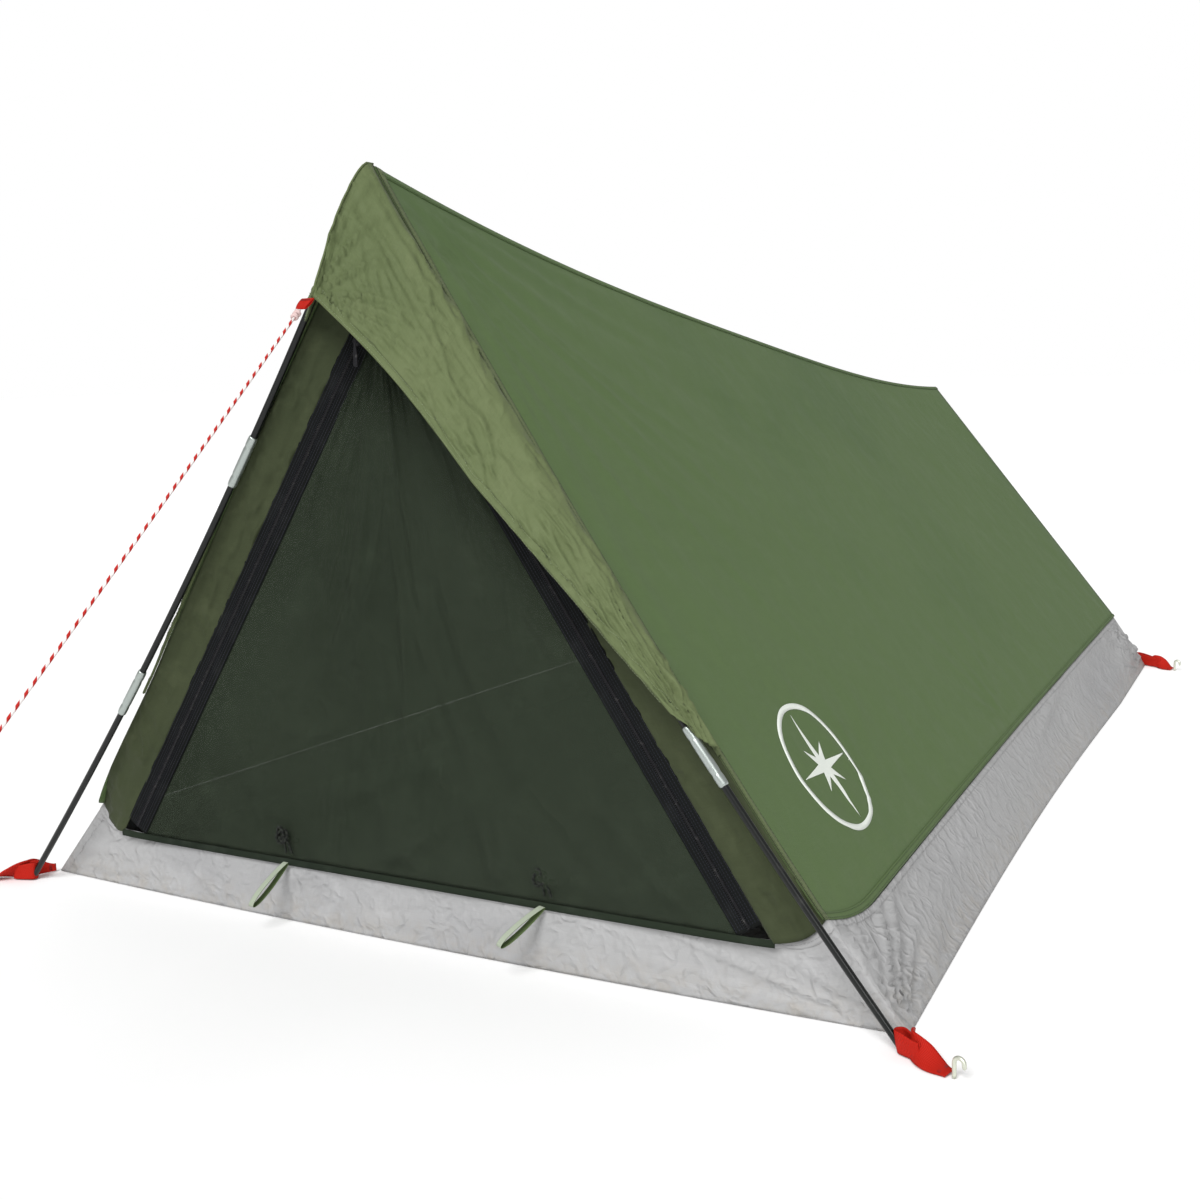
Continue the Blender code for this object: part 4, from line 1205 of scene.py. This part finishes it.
roofStripV = seamLook["strip"] / roofLook["size"][1]
sideStripU = 0.010 / roofLook["size"][0]
for side, word in ((-1, "Left"), (1, "Right")):
    place, out = roofPlaces[side], roofLook["outward"](side)
    stripOn(f"frontSeamStrip{word}", place, (lambda t: t, lambda t: 0.0), (lambda t: t, lambda t: roofStripV),
            seamLook["strip"], 130, out, clothMats["hood"], seamLook["lift"])
    stripOn(f"sideHem{word}", place, (lambda t: 1.0 - sideStripU, lambda t: t), (lambda t: 1.0, lambda t: t),
            0.010, 240, out, clothMats["roof"], 0.0009)
    stripOn(f"ridgeHem{word}", place, (lambda t: 0.0, lambda t: t), (lambda t: 0.010, lambda t: t),
            0.010, 160, out, clothMats["roof"], 0.0009)
    rows = []
    for v in (roofStripV * 0.2, roofStripV * 0.8):
        rows.append(surfaceRow(place, [(u, v) for u in spread(0.02, 0.995, 90)], 0.0021, out))
    for u in (1 - sideStripU * 0.8, 1 - sideStripU * 0.25):
        rows.append(surfaceRow(place, [(u, v) for v in spread(0.004, 0.996, 160)], 0.0017, out))
    rows.append(surfaceRow(place, [(0.0085, v) for v in spread(0.004, 0.996, 140)], 0.0017, out))
    rows.append(surfaceRow(place, [(u, 0.993) for u in spread(0.01, 0.99, 80)], 0.0008, out))
    stitchPiece(f"roofStitches{word}", rows, stitchLook, threadMats["green"])
    # a thin dark cord along the roof's front edge is painted shade: it stands for the shadow gap where the hood is sewn
    # on
    seamShadowCord, _ = surfaceRow(place, [(u, 0.0005) for u in spread(0.0, 1.0, 110)], 0.0008, out)
    makePiece(f"frontSeamShadow{word}", sweepTube(seamShadowCord, seamLook["seamShadowCord"], 8, Vector((0, 1, 0))), bindingAndSeamShadowMat)
    hood, hoodOut = hoodPlaces[side], hoodLook["outward"](side)
    stripOn(f"hoodHem{word}", hood, (lambda t: 0.93 - 0.30 * t ** 3, lambda t: t), (lambda t: 1.0, lambda t: t),
            0.012, 130, hoodOut, clothMats["hood"], 0.0009)
    hemRow = surfaceRow(hood, [(0.945 - 0.27 * v ** 3, v) for v in spread(0.01, 0.97, 110)], 0.0016, hoodOut)
    edgeRow = surfaceRow(hood, [(0.985, v) for v in spread(0.01, 0.97, 110)], 0.0016, hoodOut)
    stitchPiece(f"hoodStitches{word}", [hemRow, edgeRow], fineStitch, threadMats["hood"])
    wall, wallOut = tubPlaces[side], tubSideLook["outward"](side)
    row = surfaceRow(wall, [(0.93, v) for v in spread(0.004, 0.996, 150)], 0.0004, wallOut)
    stitchPiece(f"tubStitches{word}", [row], stitchLook, threadMats["grey"])
hoodOut = Vector((0, -0.8, 0.6))
ridge = [hoodPlaces[1](u, 0.0) for u in spread(0.0, 1.0, 24)]
makePiece("hoodMiddleSeam", sweepTube([p + hoodOut * 0.0004 for p in ridge], 0.0011, 8, Vector((1, 0, 0))),
          clothMats["hood"])
ridgeLine = [Vector((0, p.y, p.z + 0.0002)) for p in (roofPlaces[1](0.0, v) for v in spread(0.0, 1.0, 120))]
makePiece("ridgePiping", sweepTube(ridgeLine, 0.0014, 8, Vector((1, 0, 0))), clothMats["wall"])
frontOut = Vector((0, -1, 0))
sillRow = surfaceRow(frontWallPlace, [(0.95, v) for v in spread(0.01, 0.99, 120)], 0.0009, frontOut)
cornerRows = [surfaceRow(frontWallPlace, [(u, v) for u in spread(0.06, 0.94, 12)], 0.0006, frontOut)
              for v in (0.012, 0.988)]
stitchPiece("tubFrontStitches", [sillRow] + cornerRows, stitchLook, threadMats["grey"])
stripOn("sillHem", frontWallPlace, (lambda t: 0.90, lambda t: t), (lambda t: 1.0, lambda t: t), 0.009, 160,
        frontOut, clothMats["tub"], 0.0005)


def sillBinding(s, t):
    x = (2 * t - 1) * (zipFoot.x + 0.022)
    seam = frontSeam(x)
    return Vector((x, wallY - 0.0009, seam.z - 0.004 + 0.0085 * s))


sill = makePiece("sillBinding", gridCloth(3, 120, sillBinding, (0.009, 1.05), frontOut), bindingAndSeamShadowMat)
thicken(sill, 0.0008)
print("seams sewn")


# ---- zips ----
toothLook = {"pitch": 0.0022, "length": 0.0036, "radius": 0.00058}
tapeLook = {"width": 0.0118, "thickness": 0.0009, "stitches": (0.0044, 0.0074, 0.0108, 0.0150)}


def tapePiece(name, side, inner, outer, top, mat, body, node):
    foot = zipLength - zipLook["foot"]

    def place(u, v):
        across = inner + (outer - inner) * u
        ripple = 0.00035 * math.sin(v * 75.0 + side) * u
        return zipPoint(top + (foot - top) * v, across, side, wallY - 0.0004 - ripple)

    obj = makePiece(name, gridCloth(5, 150, place, (abs(outer - inner), foot - top), frontOut), mat, body,
                    stands=[node])
    thicken(obj, tapeLook["thickness"])
    return obj


def zipTeeth(name, side, inward, top, body):
    # Coil turns that reach across the middle line from one tape.
    bm = bmesh.new()
    foot = zipLength - zipLook["foot"]
    count = int((foot - top) / toothLook["pitch"])
    along = Vector((side * zipAlong.x, 0, zipAlong.z))
    out = Vector((side * zipOut.x, 0, zipOut.z)) * (-1 if inward else 1)
    turn = Matrix((along, Vector((0, -1, 0)), out)).transposed().to_4x4()
    if turn.determinant() < 0:
        turn = Matrix((-along, Vector((0, -1, 0)), out)).transposed().to_4x4()
    for i in range(count):
        down = top + toothLook["pitch"] * (i + (0.5 if inward else 0.0))
        at = zipPoint(down, 0.0011 * (-1 if inward else 1), side, wallY - 0.0013)
        bmesh.ops.create_cone(bm, cap_ends=True, segments=6, radius1=toothLook["radius"],
                              radius2=toothLook["radius"] * 0.8, depth=toothLook["length"],
                              matrix=Matrix.Translation(at) @ turn)
    return makePiece(name, bm, zincMat, body)


def zipRows(side, sign, top):
    foot = zipLength - zipLook["foot"] - 0.002
    rows = []
    for across in tapeLook["stitches"]:
        path = [zipPoint(down, sign * across, side, wallY - 0.0010) for down in spread(top + 0.002, foot, 8)]
        rows.append((path, [Vector((0, -1, 0))] * 9))
    return rows


def sliderPiece(side, word):
    # Two shields with a waist, joined by a post, and a raised bridge for the pull.
    bm = bmesh.new()
    lo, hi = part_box(f"zip_slider_{word.lower()}")
    for depth, thick in ((-0.0003, 0.0011), (0.0029, 0.0012)):
        made = bmesh.ops.create_cube(bm, size=1.0)
        verts = made["verts"]
        bmesh.ops.scale(bm, vec=(0.0092, 0.0126, thick), verts=verts)
        for vert in verts:
            if vert.co.y > 0:
                vert.co.x *= 0.72
            vert.co.z += depth
    post = bmesh.ops.create_cube(bm, size=1.0)["verts"]
    bmesh.ops.scale(bm, vec=(0.0024, 0.0045, 0.0032), verts=post)
    bmesh.ops.translate(bm, vec=(0, -0.0035, 0.0012), verts=post)
    bmesh.ops.bevel(bm, geom=bm.edges[:], offset=0.00045, segments=3, affect="EDGES", profile=0.5, material=-1)
    known = set(bm.verts)
    arch = [Vector((0, y, z)) for y, z in ((-0.0042, 0.0034), (-0.0036, 0.0068), (-0.0018, 0.0093),
                                           (0.0018, 0.0093), (0.0036, 0.0068), (0.0042, 0.0034))]
    bridge = sweepTube(smoothPath(arch, 18), 0.0007, 10, Vector((1, 0, 0)), ovalness=1.0)
    part = bpy.data.meshes.new("part")
    bridge.to_mesh(part)
    bridge.free()
    bm.from_mesh(part)
    bpy.data.meshes.remove(part)
    along = Vector((side * zipAlong.x, 0, zipAlong.z))
    across = along.cross(Vector((0, -1, 0)))
    turn = Matrix((across, along, Vector((0, -1, 0)))).transposed().to_4x4()
    if turn.determinant() < 0:
        turn = Matrix((-across, along, Vector((0, -1, 0)))).transposed().to_4x4()
    centre = zipPoint(zipLook["start"], 0, side, hi.y - 0.0004)
    bmesh.ops.transform(bm, verts=bm.verts, matrix=Matrix.Translation(centre) @ turn)
    bmesh.ops.recalc_face_normals(bm, faces=bm.faces)
    obj = makePiece(f"zipSlider{word}", bm, zincMat, f"slider_{word.lower()}",
                    stands=[f"zip_slider_{word.lower()}"])
    obj.data.set_sharp_from_angle(angle=math.radians(35))
    return centre


def pullPiece(side, word):
    # A stamped tab with an eye, a waist and ribs where it is held.
    lo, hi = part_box(f"zip_pull_{word.lower()}")
    centre = Vector(((lo.x + hi.x) / 2, (lo.y + hi.y) / 2, 0))
    top, foot = hi.z, lo.z

    def outline(v):
        return 0.0024 + 0.0006 * smoothStep((v - 0.25) / 0.5) - 0.0010 * math.exp(-((v - 0.24) / 0.10) ** 2)

    def place(u, v):
        z = top - 0.0004 - (top - foot - 0.0004) * v
        rib = 0.00022 * max(0.0, math.sin((v - 0.55) * 70.0)) if 0.55 < v < 0.92 else 0.0
        x = (2 * u - 1) * outline(v) * math.sqrt(max(1 - (2 * v - 1) ** 12, 0.02))
        return Vector((centre.x + x, centre.y - 0.0004 - rib, z))

    bm = gridCloth(8, 60, place, (0.005, 0.03), frontOut)
    hole = [face for face in bm.faces if (face.calc_center_median() - Vector(
        (centre.x, centre.y - 0.0004, top - 0.0026))).length < 0.0010]
    bmesh.ops.delete(bm, geom=hole, context="FACES")
    obj = makePiece(f"zipPull{word}", bm, zincMat, f"pull_{word.lower()}",
                    stands=[f"zip_pull_{word.lower()}"])
    thicken(obj, 0.0010)


for side, word in ((-1, "Left"), (1, "Right")):
    lower = word.lower()
    tapePiece(f"wallZipTape{word}", side, 0.0007, zipLook["tape"], zipLook["wallTop"], zipTapeMat, "tent",
              f"wall_zip_{lower}")
    tapePiece(f"doorZipTape{word}", side, -zipLook["tape"], -0.0007, zipLook["doorTop"], zipTapeMat, "door",
              f"door_zip_{lower}")
    zipTeeth(f"wallZipTeeth{word}", side, False, zipLook["doorTop"] + 0.001, "tent")
    zipTeeth(f"doorZipTeeth{word}", side, True, zipLook["doorTop"] + 0.001, "door")
    stitchPiece(f"wallZipStitches{word}", zipRows(side, 1, zipLook["wallTop"] + 0.01), fineStitch,
                threadMats["blue"])
    stitchPiece(f"doorZipStitches{word}", zipRows(side, -1, zipLook["doorTop"]), fineStitch, threadMats["blue"],
                "door")
    sliderPiece(side, word)
    pullPiece(side, word)


def peakPatch(u, v):
    z = 0.722 + 0.062 * v
    half = max(min(zipX(z, zipLook["tape"] + 0.001), seamX(z) - 0.002), 0.002)
    return Vector(((2 * u - 1) * half, wallY - 0.0022, z))


patch = makePiece("zipPeakPatch", gridCloth(10, 14, peakPatch, (0.05, 0.06), frontOut), zipTapeMat)
thicken(patch, 0.0006)
print("zips built")


# ---- poles, ferrules, elbows and shock cord ----
frameLooks = {
    "front": {"foot": Vector((0.606, -1.040, 0.004)), "apex": Vector((0.0, -1.034, 0.874)), "bow": 0.023,
              "joints": (0.31, 0.645), "names": ("lower", "middle", "upper"), "turn": 0.030},
    "rear": {"foot": Vector((0.455, 1.010, 0.004)), "apex": Vector((0.0, 1.005, 0.586)), "bow": 0.018,
             "joints": (0.5,), "names": ("lower", "upper"), "turn": 0.030},
}
poleLook = {"radius": 0.0040, "topShare": 0.033, "butt": 0.0006, "ferrule": 0.0055, "ferruleLength": 0.070,
            "elbow": 0.0057, "elbowReach": 0.058}


def framePath(shape, start, end, count, side):
    return [framePoint(shape, side * (1 - t)) for t in spread(start, end, count)]


def buildPoles(word):
    shape = frameLooks[word]
    leg = (shape["foot"] - shape["apex"]).length
    sideAxis = Vector((0, 1, 0))
    cuts = [0.0, *shape["joints"], 1 - poleLook["topShare"]]
    butt = poleLook["butt"] / leg
    r = poleLook["radius"]
    for side, hand in ((-1, "Left"), (1, "Right")):
        low = hand.lower()
        for part, start, end in zip(shape["names"], cuts, cuts[1:]):
            tip = 0.0012 / leg
            shares = [start + butt, start + butt + tip * 0.3, start + butt + tip]
            shares += spread(start + butt + tip * 2, end - butt - tip * 2, 24)
            shares += [end - butt - tip, end - butt - tip * 0.3, end - butt]
            path = [framePoint(shape, side * (1 - t)) for t in shares]
            radii = [r * 0.72, r * 0.92, r] + [r] * 25 + [r, r * 0.92, r * 0.72]
            makePiece(f"{word}Pole{part.capitalize()}{hand}", sweepTube(path, radii, 18, sideAxis), poleMat,
                      stands=[f"{word}_pole_{part}_{low}"])
        half = poleLook["ferruleLength"] / 2 / leg
        for part, centre in zip(("lower", "upper"), shape["joints"]):
            tag = f"_{part}" if len(shape["joints"]) > 1 else ""
            crimp = [0.0, 0.02, 0.06, 0.16, 0.19, 0.21, 0.23, 0.26, 0.5, 0.74, 0.77, 0.79, 0.81, 0.84, 0.94,
                     0.98, 1.0]
            f = poleLook["ferrule"]
            radii = [f * 0.86, f * 0.95, f, f, f * 0.95, f * 0.90, f * 0.95, f, f, f, f * 0.95, f * 0.90,
                     f * 0.95, f, f, f * 0.95, f * 0.86]
            path = [framePoint(shape, side * (1 - (centre - half + 2 * half * k))) for k in crimp]
            makePiece(f"{word}Ferrule{part.capitalize() if tag else ''}{hand}",
                      sweepTube(path, radii, 24, sideAxis), ferruleMat,
                      stands=[f"{word}_ferrule{tag}_{low}"])
    reach = poleLook["elbowReach"]
    e = poleLook["elbow"]
    stations = spread(-1.0, 1.0, 48)
    path = [framePoint(shape, reach * s) for s in stations]
    radii = []
    for s in stations:
        collar = 1.0 if abs(s) > 0.90 else 0.93
        collar = collar if abs(abs(s) - 0.55) > 0.03 else 0.98
        radii.append(e * (0.90 if abs(s) > 0.985 else collar))
    makePiece(f"{word}Elbow", sweepTube(path, radii, 20, sideAxis), plasticMat,
              stands=[f"{word}_apex_joint"])
    node = bpy.data.objects.get(f"{word}_shock_cord")
    ends = [-1 + 0.006 + (1 - 0.006 - 0.06) * i / 30 for i in range(31)]
    turn = [0.05 * i / 8 for i in range(-8, 9)]
    cordPath = [framePoint(shape, s) for s in ends + turn + [-s for s in reversed(ends)]]
    makePiece(f"{word}ShockCord", sweepTube(cordPath, 0.00125, 8, sideAxis), elasticMat,
              stands=[f"{word}_shock_cord"])


buildPoles("front")
buildPoles("rear")
print("frame built")


# ---- webbing: corner straps, pole pockets and the guy tab ----
strapLook = {"width": 0.025, "thickness": 0.0017, "leans": (0, 0, 8, 45, 75, 82), "clear": 0.0010}
strapRoutes = {
    "front": [(0.6035, -1.004), (0.612, -1.022), (0.6155, -1.043), (0.631, -1.055), (0.648, -1.062), (0.660, -1.067)],
    "rear": [(0.4755, 0.995), (0.484, 0.989), (0.496, 0.983), (0.508, 0.977), (0.520, 0.971), (0.530, 0.966)],
}


def strapStations(route, side):
    count = 50
    flat = smoothPath([(x, y, 0) for x, y in route], count)
    leans = smoothPath([(lean, 0, 0) for lean in strapLook["leans"]], count)
    stations = []
    for i, at in enumerate(flat):
        ahead = flat[min(i + 1, count)] - flat[max(i - 1, 0)]
        normal = Vector((side * ahead.y, -ahead.x, 0)).normalized()
        lean = math.radians(leans[i].x)
        across = Vector((0, 0, math.cos(lean))) - normal * math.sin(lean) * side
        # the webbing narrows and folds where it goes round the peg
        width = strapLook["width"] * (1 - 0.45 * smoothStep((i / count - 0.62) / 0.38))
        width *= 0.4 + 0.6 * smoothStep(i / count / 0.35)
        rise = width / 2 * math.cos(lean) + strapLook["thickness"] / 2 * math.sin(lean) + strapLook["clear"]
        face = across.cross(Vector((side * ahead.x, ahead.y, 0))).normalized()
        stations.append((Vector((side * at.x, at.y, rise)), across.normalized(), face, width))
    return stations


def ribbonPiece(name, stations, mat, body, node, thickness, curl=0.0, materialOffset=0):
    last = len(stations) - 1
    spine = [s[0] for s in stations]
    length = sum((b - a).length for a, b in zip(spine, spine[1:]))

    def place(u, v):
        at, across, face, width = stations[min(int(round(v * last)), last)]
        s = 2 * u - 1
        return at + across * s * width / 2 + face * curl * (s * s - 0.4)

    bm = gridCloth(10, last, place, (stations[0][3], length))
    obj = makePiece(name, bm, mat, body, stands=[node] if node else ())
    thicken(obj, thickness, 0.0, materialOffset)
    return obj


def barTack(bm, at, across, along, face, width, length):
    # A dense zigzag block of stitches.
    rows = int(length / 0.0008)
    for i in range(rows):
        start = at - across * width / 2 + along * (i * 0.0008 - length / 2)
        turn = Matrix((along, face, across)).transposed().to_4x4()
        if turn.determinant() < 0:
            turn = Matrix((-along, face, across)).transposed().to_4x4()
        bmesh.ops.create_cone(bm, cap_ends=True, segments=5, radius1=0.0003, radius2=0.0003, depth=width,
                              matrix=Matrix.Translation(start + across * width / 2) @ turn)


pocketLook = {"height": 0.023, "thickness": 0.0014, "gap": 0.0062, "lean": 0.30}


def polePocket(end, side, hand):
    # A loop of the webbing that the pole's foot stands in, drawn out to the strap.
    foot = frameLooks[end]["foot"]
    route = strapRoutes[end]
    out = (Vector((*route[3], 0)) - Vector((foot.x, foot.y, 0)))
    away = out.normalized()
    beside = Vector((-away.y, away.x, 0))
    gap = pocketLook["gap"]
    reach = out.length - 0.004
    plan = [away * reach + beside * 0.0010, away * reach * 0.6 + beside * gap * 0.62, beside * gap,
            -away * gap * 0.72 + beside * gap * 0.72, -away * gap, -away * gap * 0.72 - beside * gap * 0.72,
            -beside * gap, away * reach * 0.6 - beside * gap * 0.62, away * reach - beside * 0.0010]
    line = smoothPath(plan, 60)
    stations = []
    for i, at in enumerate(line):
        step = (line[min(i + 1, 60)] - line[max(i - 1, 0)]).normalized()
        height = pocketLook["height"] * (1 - 0.18 * smoothStep(at.dot(away) / reach))
        up = (Vector((0, 0, 1)) - Vector((0.55 * pocketLook["lean"], 0, 0))).normalized()
        centre = Vector((foot.x + at.x, foot.y + at.y, height / 2 + 0.0012))
        place = Vector((side * centre.x, centre.y, centre.z))
        across = Vector((side * up.x, up.y, up.z))
        face = across.cross(Vector((side * step.x, step.y, 0))).normalized()
        stations.append((place, across, face, height))
    ribbonPiece(f"{end}PolePocket{hand}", stations, webbingMat, "tent", None,
                pocketLook["thickness"], 0.0004)


for end, route in strapRoutes.items():
    for side, hand in ((-1, "Left"), (1, "Right")):
        stations = strapStations(route, side)
        ribbonPiece(f"{end}Strap{hand}", stations, webbingMat, "tent", f"strap_{end}_{hand.lower()}",
                    strapLook["thickness"], 0.0008)
        tacks = bmesh.new()
        for k in (4, 44):
            at, across, face, width = stations[k]
            ahead = (stations[k + 1][0] - at).normalized()
            for sign in (-1, 1):
                barTack(tacks, at + face * sign * strapLook["thickness"] * 0.5, across, ahead, face, width * 0.8,
                        0.004)
        makePiece(f"{end}StrapTacks{hand}", tacks, threadMats["red"])
        tip = Vector((side * (route[-1][0] + 0.0055), route[-1][1] - 0.0025, 0))
        buildPeg(f"{end}PegHead{hand}", tip, Vector((side, -0.3, 0)).normalized(), f"peg_{end}_{hand.lower()}")
        polePocket(end, side, hand)

tabRoot = Vector((0, -1.1365, 0.7415))
tabWay = tabTip - tabRoot
tabFace = Vector((1, 0, 0)).cross(tabWay).normalized()
tabStations = []
for i in range(41):
    k = i / 40
    turn = 2 * math.pi * k
    out = 0.5 - 0.5 * math.cos(turn)
    at = tabRoot + tabWay * out * 0.99 + tabFace * 0.0011 * math.sin(turn)
    tabStations.append((at, Vector((1, 0, 0)), tabFace, 0.0155 - 0.004 * out ** 3))
ribbonPiece("guyTab", tabStations, webbingMat, "tent", "guy_tab", 0.0008)
tacks = bmesh.new()
for sign in (-1, 1):
    barTack(tacks, tabRoot + tabWay * 0.28 + tabFace * sign * 0.0016, Vector((1, 0, 0)), tabWay.normalized(), tabFace,
            0.012, 0.003)
makePiece("guyTabTacks", tacks, threadMats["red"])
print("webbing built")


# ---- tie loops and toggles ----
loopLook = {"roots": {"Left": (-0.184, 0.0735), "Right": (0.184, 0.0735)},
            "tips": {"Left": (-0.190, -1.072, 0.036), "Right": (0.162, -1.070, 0.044)}, "width": 0.0075}
for hand, (rootX, rootZ) in loopLook["roots"].items():
    root = Vector((rootX, frontSeam(rootX).y - 0.004, rootZ))
    tip = Vector(loopLook["tips"][hand])
    ahead = tip - root
    across = (Vector((1, 0, 0)) - ahead * (ahead.x / ahead.length_squared)).normalized()
    lift = ahead.cross(across).normalized()
    lift = -lift if lift.z < 0 else lift
    points = []
    for i in range(65):
        turn = 2 * math.pi * i / 64
        k = 0.5 - 0.5 * math.cos(turn)
        points.append(root + ahead * k + lift * math.sin(turn) * (0.0036 + 0.0034 * k))
    stations = []
    for i, at in enumerate(points):
        step = points[(i + 1) % 64] - points[(i - 1) % 64]
        stations.append((at, across, across.cross(step).normalized(), loopLook["width"]))
    ribbonPiece(f"tieLoop{hand}", stations, [loopMat, loopInnerMat], f"tie_{hand.lower()}",
                f"tie_loop_{hand.lower()}", 0.0007, materialOffset=1)


def togglePiece(hand):
    # A turned barrel with a waist for its cord.
    lo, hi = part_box(f"toggle_{hand.lower()}")
    middle = (lo + hi) / 2
    half = (hi.x - lo.x) / 2
    profile = [(-1.0, 0.35), (-0.97, 0.62), (-0.88, 0.86), (-0.7, 1.0), (-0.35, 0.95), (-0.14, 0.72), (0.0, 0.62),
               (0.14, 0.72), (0.35, 0.95), (0.7, 1.0), (0.88, 0.86), (0.97, 0.62), (1.0, 0.35)]
    path = [middle + Vector((half * x, 0, 0)) for x, _ in profile]
    radii = [0.0036 * r for _, r in profile]
    makePiece(f"toggle{hand}", sweepTube(path, radii, 20, Vector((0, 1, 0))), plasticMat, "door",
              stands=[f"toggle_{hand.lower()}"])
    turns = []
    for i in range(49):
        angle = 2 * math.pi * i / 24 + 0.4
        turns.append(middle + Vector((0.0007 * (i / 24 - 1), 0.0033 * math.cos(angle), 0.0033 * math.sin(angle))))
    tail = smoothPath([turns[-1], middle + Vector((0.001, -0.0030, -0.006)), middle + Vector((0.002, -0.0040, -0.008)),
                       middle + Vector((0.0, -0.0044, -0.0095))], 16)
    makePiece(f"toggleCord{hand}", sweepTube(turns + tail[1:], 0.0009, 8, Vector((1, 0, 0))), elasticMat, "door")


def cordKnot(hand):
    # The cord's knot and its hanging ends, on the outside of the net.
    lo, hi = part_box(f"toggle_{hand.lower()}")
    middle = Vector(((lo.x + hi.x) / 2, wallY - 0.0062, hi.z + 0.006))
    points = []
    for i in range(91):
        turn = 2 * math.pi * i / 90
        reach = 0.0064 + 0.0024 * math.cos(3 * turn)
        points.append(middle + Vector((reach * math.cos(2 * turn), 0.0016 * math.sin(3 * turn),
                                       reach * 1.25 * math.sin(2 * turn))))
    makePiece(f"cordKnot{hand}", sweepTube(points, 0.0017, 8, Vector((0, 1, 0))), darkCordMat, "door")
    for index, shift in enumerate((0.004, 0.010)):
        tail = smoothPath([middle, middle + Vector((shift, -0.0006, -0.008)),
                           middle + Vector((shift * 1.5, -0.0002, -0.020)),
                           Vector((middle.x + shift * 0.9, wallY - 0.0040, zipFoot.z + 0.016))], 20)
        makePiece(f"cordEnd{hand}{index + 1}", sweepTube(tail, 0.0012, 8, Vector((1, 0, 0))), darkCordMat, "door")


for hand in ("Left", "Right"):
    togglePiece(hand)
    cordKnot(hand)
print("ties built")

# ---- printed emblem on the right roof: a ring with a four-point compass star ----
emblemLook = {"centre": (0.842, 0.118), "radius": 0.088, "ring": 0.008, "waist": 0.17, "lift": 0.0006}


def drapeOnRoof(bm):
    place, out = roofPlaces[1], roofLook["outward"](1)
    size = roofLook["size"]
    for vert in bm.verts:
        u = emblemLook["centre"][0] - vert.co.y / size[0]
        v = emblemLook["centre"][1] + vert.co.x / size[1]
        vert.co = place(u, v) + normalAt(place, u, v, out) * emblemLook["lift"]


def buildEmblem():
    r = emblemLook["radius"]
    bm = bmesh.new()
    for size in (r, r - emblemLook["ring"]):
        bmesh.ops.create_circle(bm, segments=96, radius=size)
    bmesh.ops.bridge_loops(bm, edges=bm.edges[:])
    # the star: long and short tips by turns, with a waist between each pair
    star = bmesh.ops.create_circle(bm, cap_ends=True, cap_tris=True, segments=16, radius=1.0)["verts"]
    for vert in star:
        if vert.co.length < 0.5:
            continue
        turn = round(math.atan2(vert.co.y, vert.co.x) / (math.pi / 8)) % 16
        reach = emblemLook["waist"] if turn % 2 else (0.84 if turn % 4 == 0 else 0.46)
        vert.co *= r * reach
    edges = list({edge for vert in star for edge in vert.link_edges})
    bmesh.ops.subdivide_edges(bm, edges=edges, cuts=7, use_grid_fill=True)
    layer = bm.loops.layers.uv.new("cloth")
    for face in bm.faces:
        for loop in face.loops:
            loop[layer].uv = loop.vert.co.xy
    drapeOnRoof(bm)
    for face in bm.faces:
        face.normal_update()
    flipped = [face for face in bm.faces if face.normal.dot(roofLook["outward"](1)) < 0]
    bmesh.ops.reverse_faces(bm, faces=flipped)
    obj = makePiece("roofEmblem", bm, printMat)
    thicken(obj, 0.0003)


buildEmblem()
print("emblem printed")


# ---- floor, light and finish ----
stageLook = {"size": 90.0, "color": (0.985, 0.985, 0.985), "ambient": 0.45}


def buildStage():
    bm = bmesh.new()
    bmesh.ops.create_grid(bm, x_segments=8, y_segments=8, size=stageLook["size"] / 2)
    bmesh.ops.translate(bm, verts=bm.verts, vec=(0, 0, -0.0006))
    mesh = bpy.data.meshes.new("studioFloor")
    bm.to_mesh(mesh)
    bm.free()
    mat, tree, shader, place, uv = startMaterial("studioFloor", 0.9, Specular_IOR_Level=0.05)
    tone = rangeNode(tree, noiseNode(tree, place, 3.0, 3.0), 0.3, 0.7, 0.99, 1.0)
    tree.links.new(mixColor(tree, 1.0, rgba(stageLook["color"]), tone, "MULTIPLY"), shader.inputs["Base Color"])
    mesh.materials.append(mat)
    floor = bpy.data.objects.new("studioFloor", mesh)
    bpy.context.collection.objects.link(floor)


def addLight(name, place, target, size, power, color=(1, 1, 1)):
    data = bpy.data.lights.new(name, "AREA")
    data.shape = "RECTANGLE"
    data.size, data.size_y = size
    data.energy = power
    data.color = color
    lamp = bpy.data.objects.new(name, data)
    bpy.context.collection.objects.link(lamp)
    aim = Vector(target) - Vector(place)
    lamp.matrix_world = Matrix.Translation(Vector(place)) @ aim.to_track_quat("-Z", "Y").to_matrix().to_4x4()


lightLook = {
    "sunFrom": (0.08, -0.72, 0.69), "sunPower": 2.75, "sunAngle": 30.0,
    "side": ((3.2, -3.6, 1.2), (0.6, -0.9, 0.05), (1.4, 1.4), 30.0),
    "rim": ((-3.5, 5.0, 3.0), (0.0, 0.5, 0.3), (3.0, 3.0), 30.0),
}
buildStage()
addLight("rimLight", *lightLook["rim"])
addLight("sideLight", *lightLook["side"])
sunData = bpy.data.lights.new("sun", "SUN")
sunData.energy = lightLook["sunPower"]
sunData.angle = math.radians(lightLook["sunAngle"])
sun = bpy.data.objects.new("sun", sunData)
bpy.context.collection.objects.link(sun)
sun.matrix_world = (-Vector(lightLook["sunFrom"])).to_track_quat("-Z", "Y").to_matrix().to_4x4()
world = bpy.data.worlds.new("studio")
world.use_nodes = True
sky = world.node_tree.nodes["Background"]
sky.inputs["Color"].default_value = (1, 1, 1, 1)
rays = world.node_tree.nodes.new("ShaderNodeLightPath")
plug(world.node_tree, sky.inputs["Strength"], rangeNode(
    world.node_tree, rays.outputs["Is Camera Ray"], 0.0, 1.0, stageLook["ambient"], 1.0))
scene = bpy.context.scene
scene.world = world
scene.view_settings.view_transform = "Standard"
print("studio set")
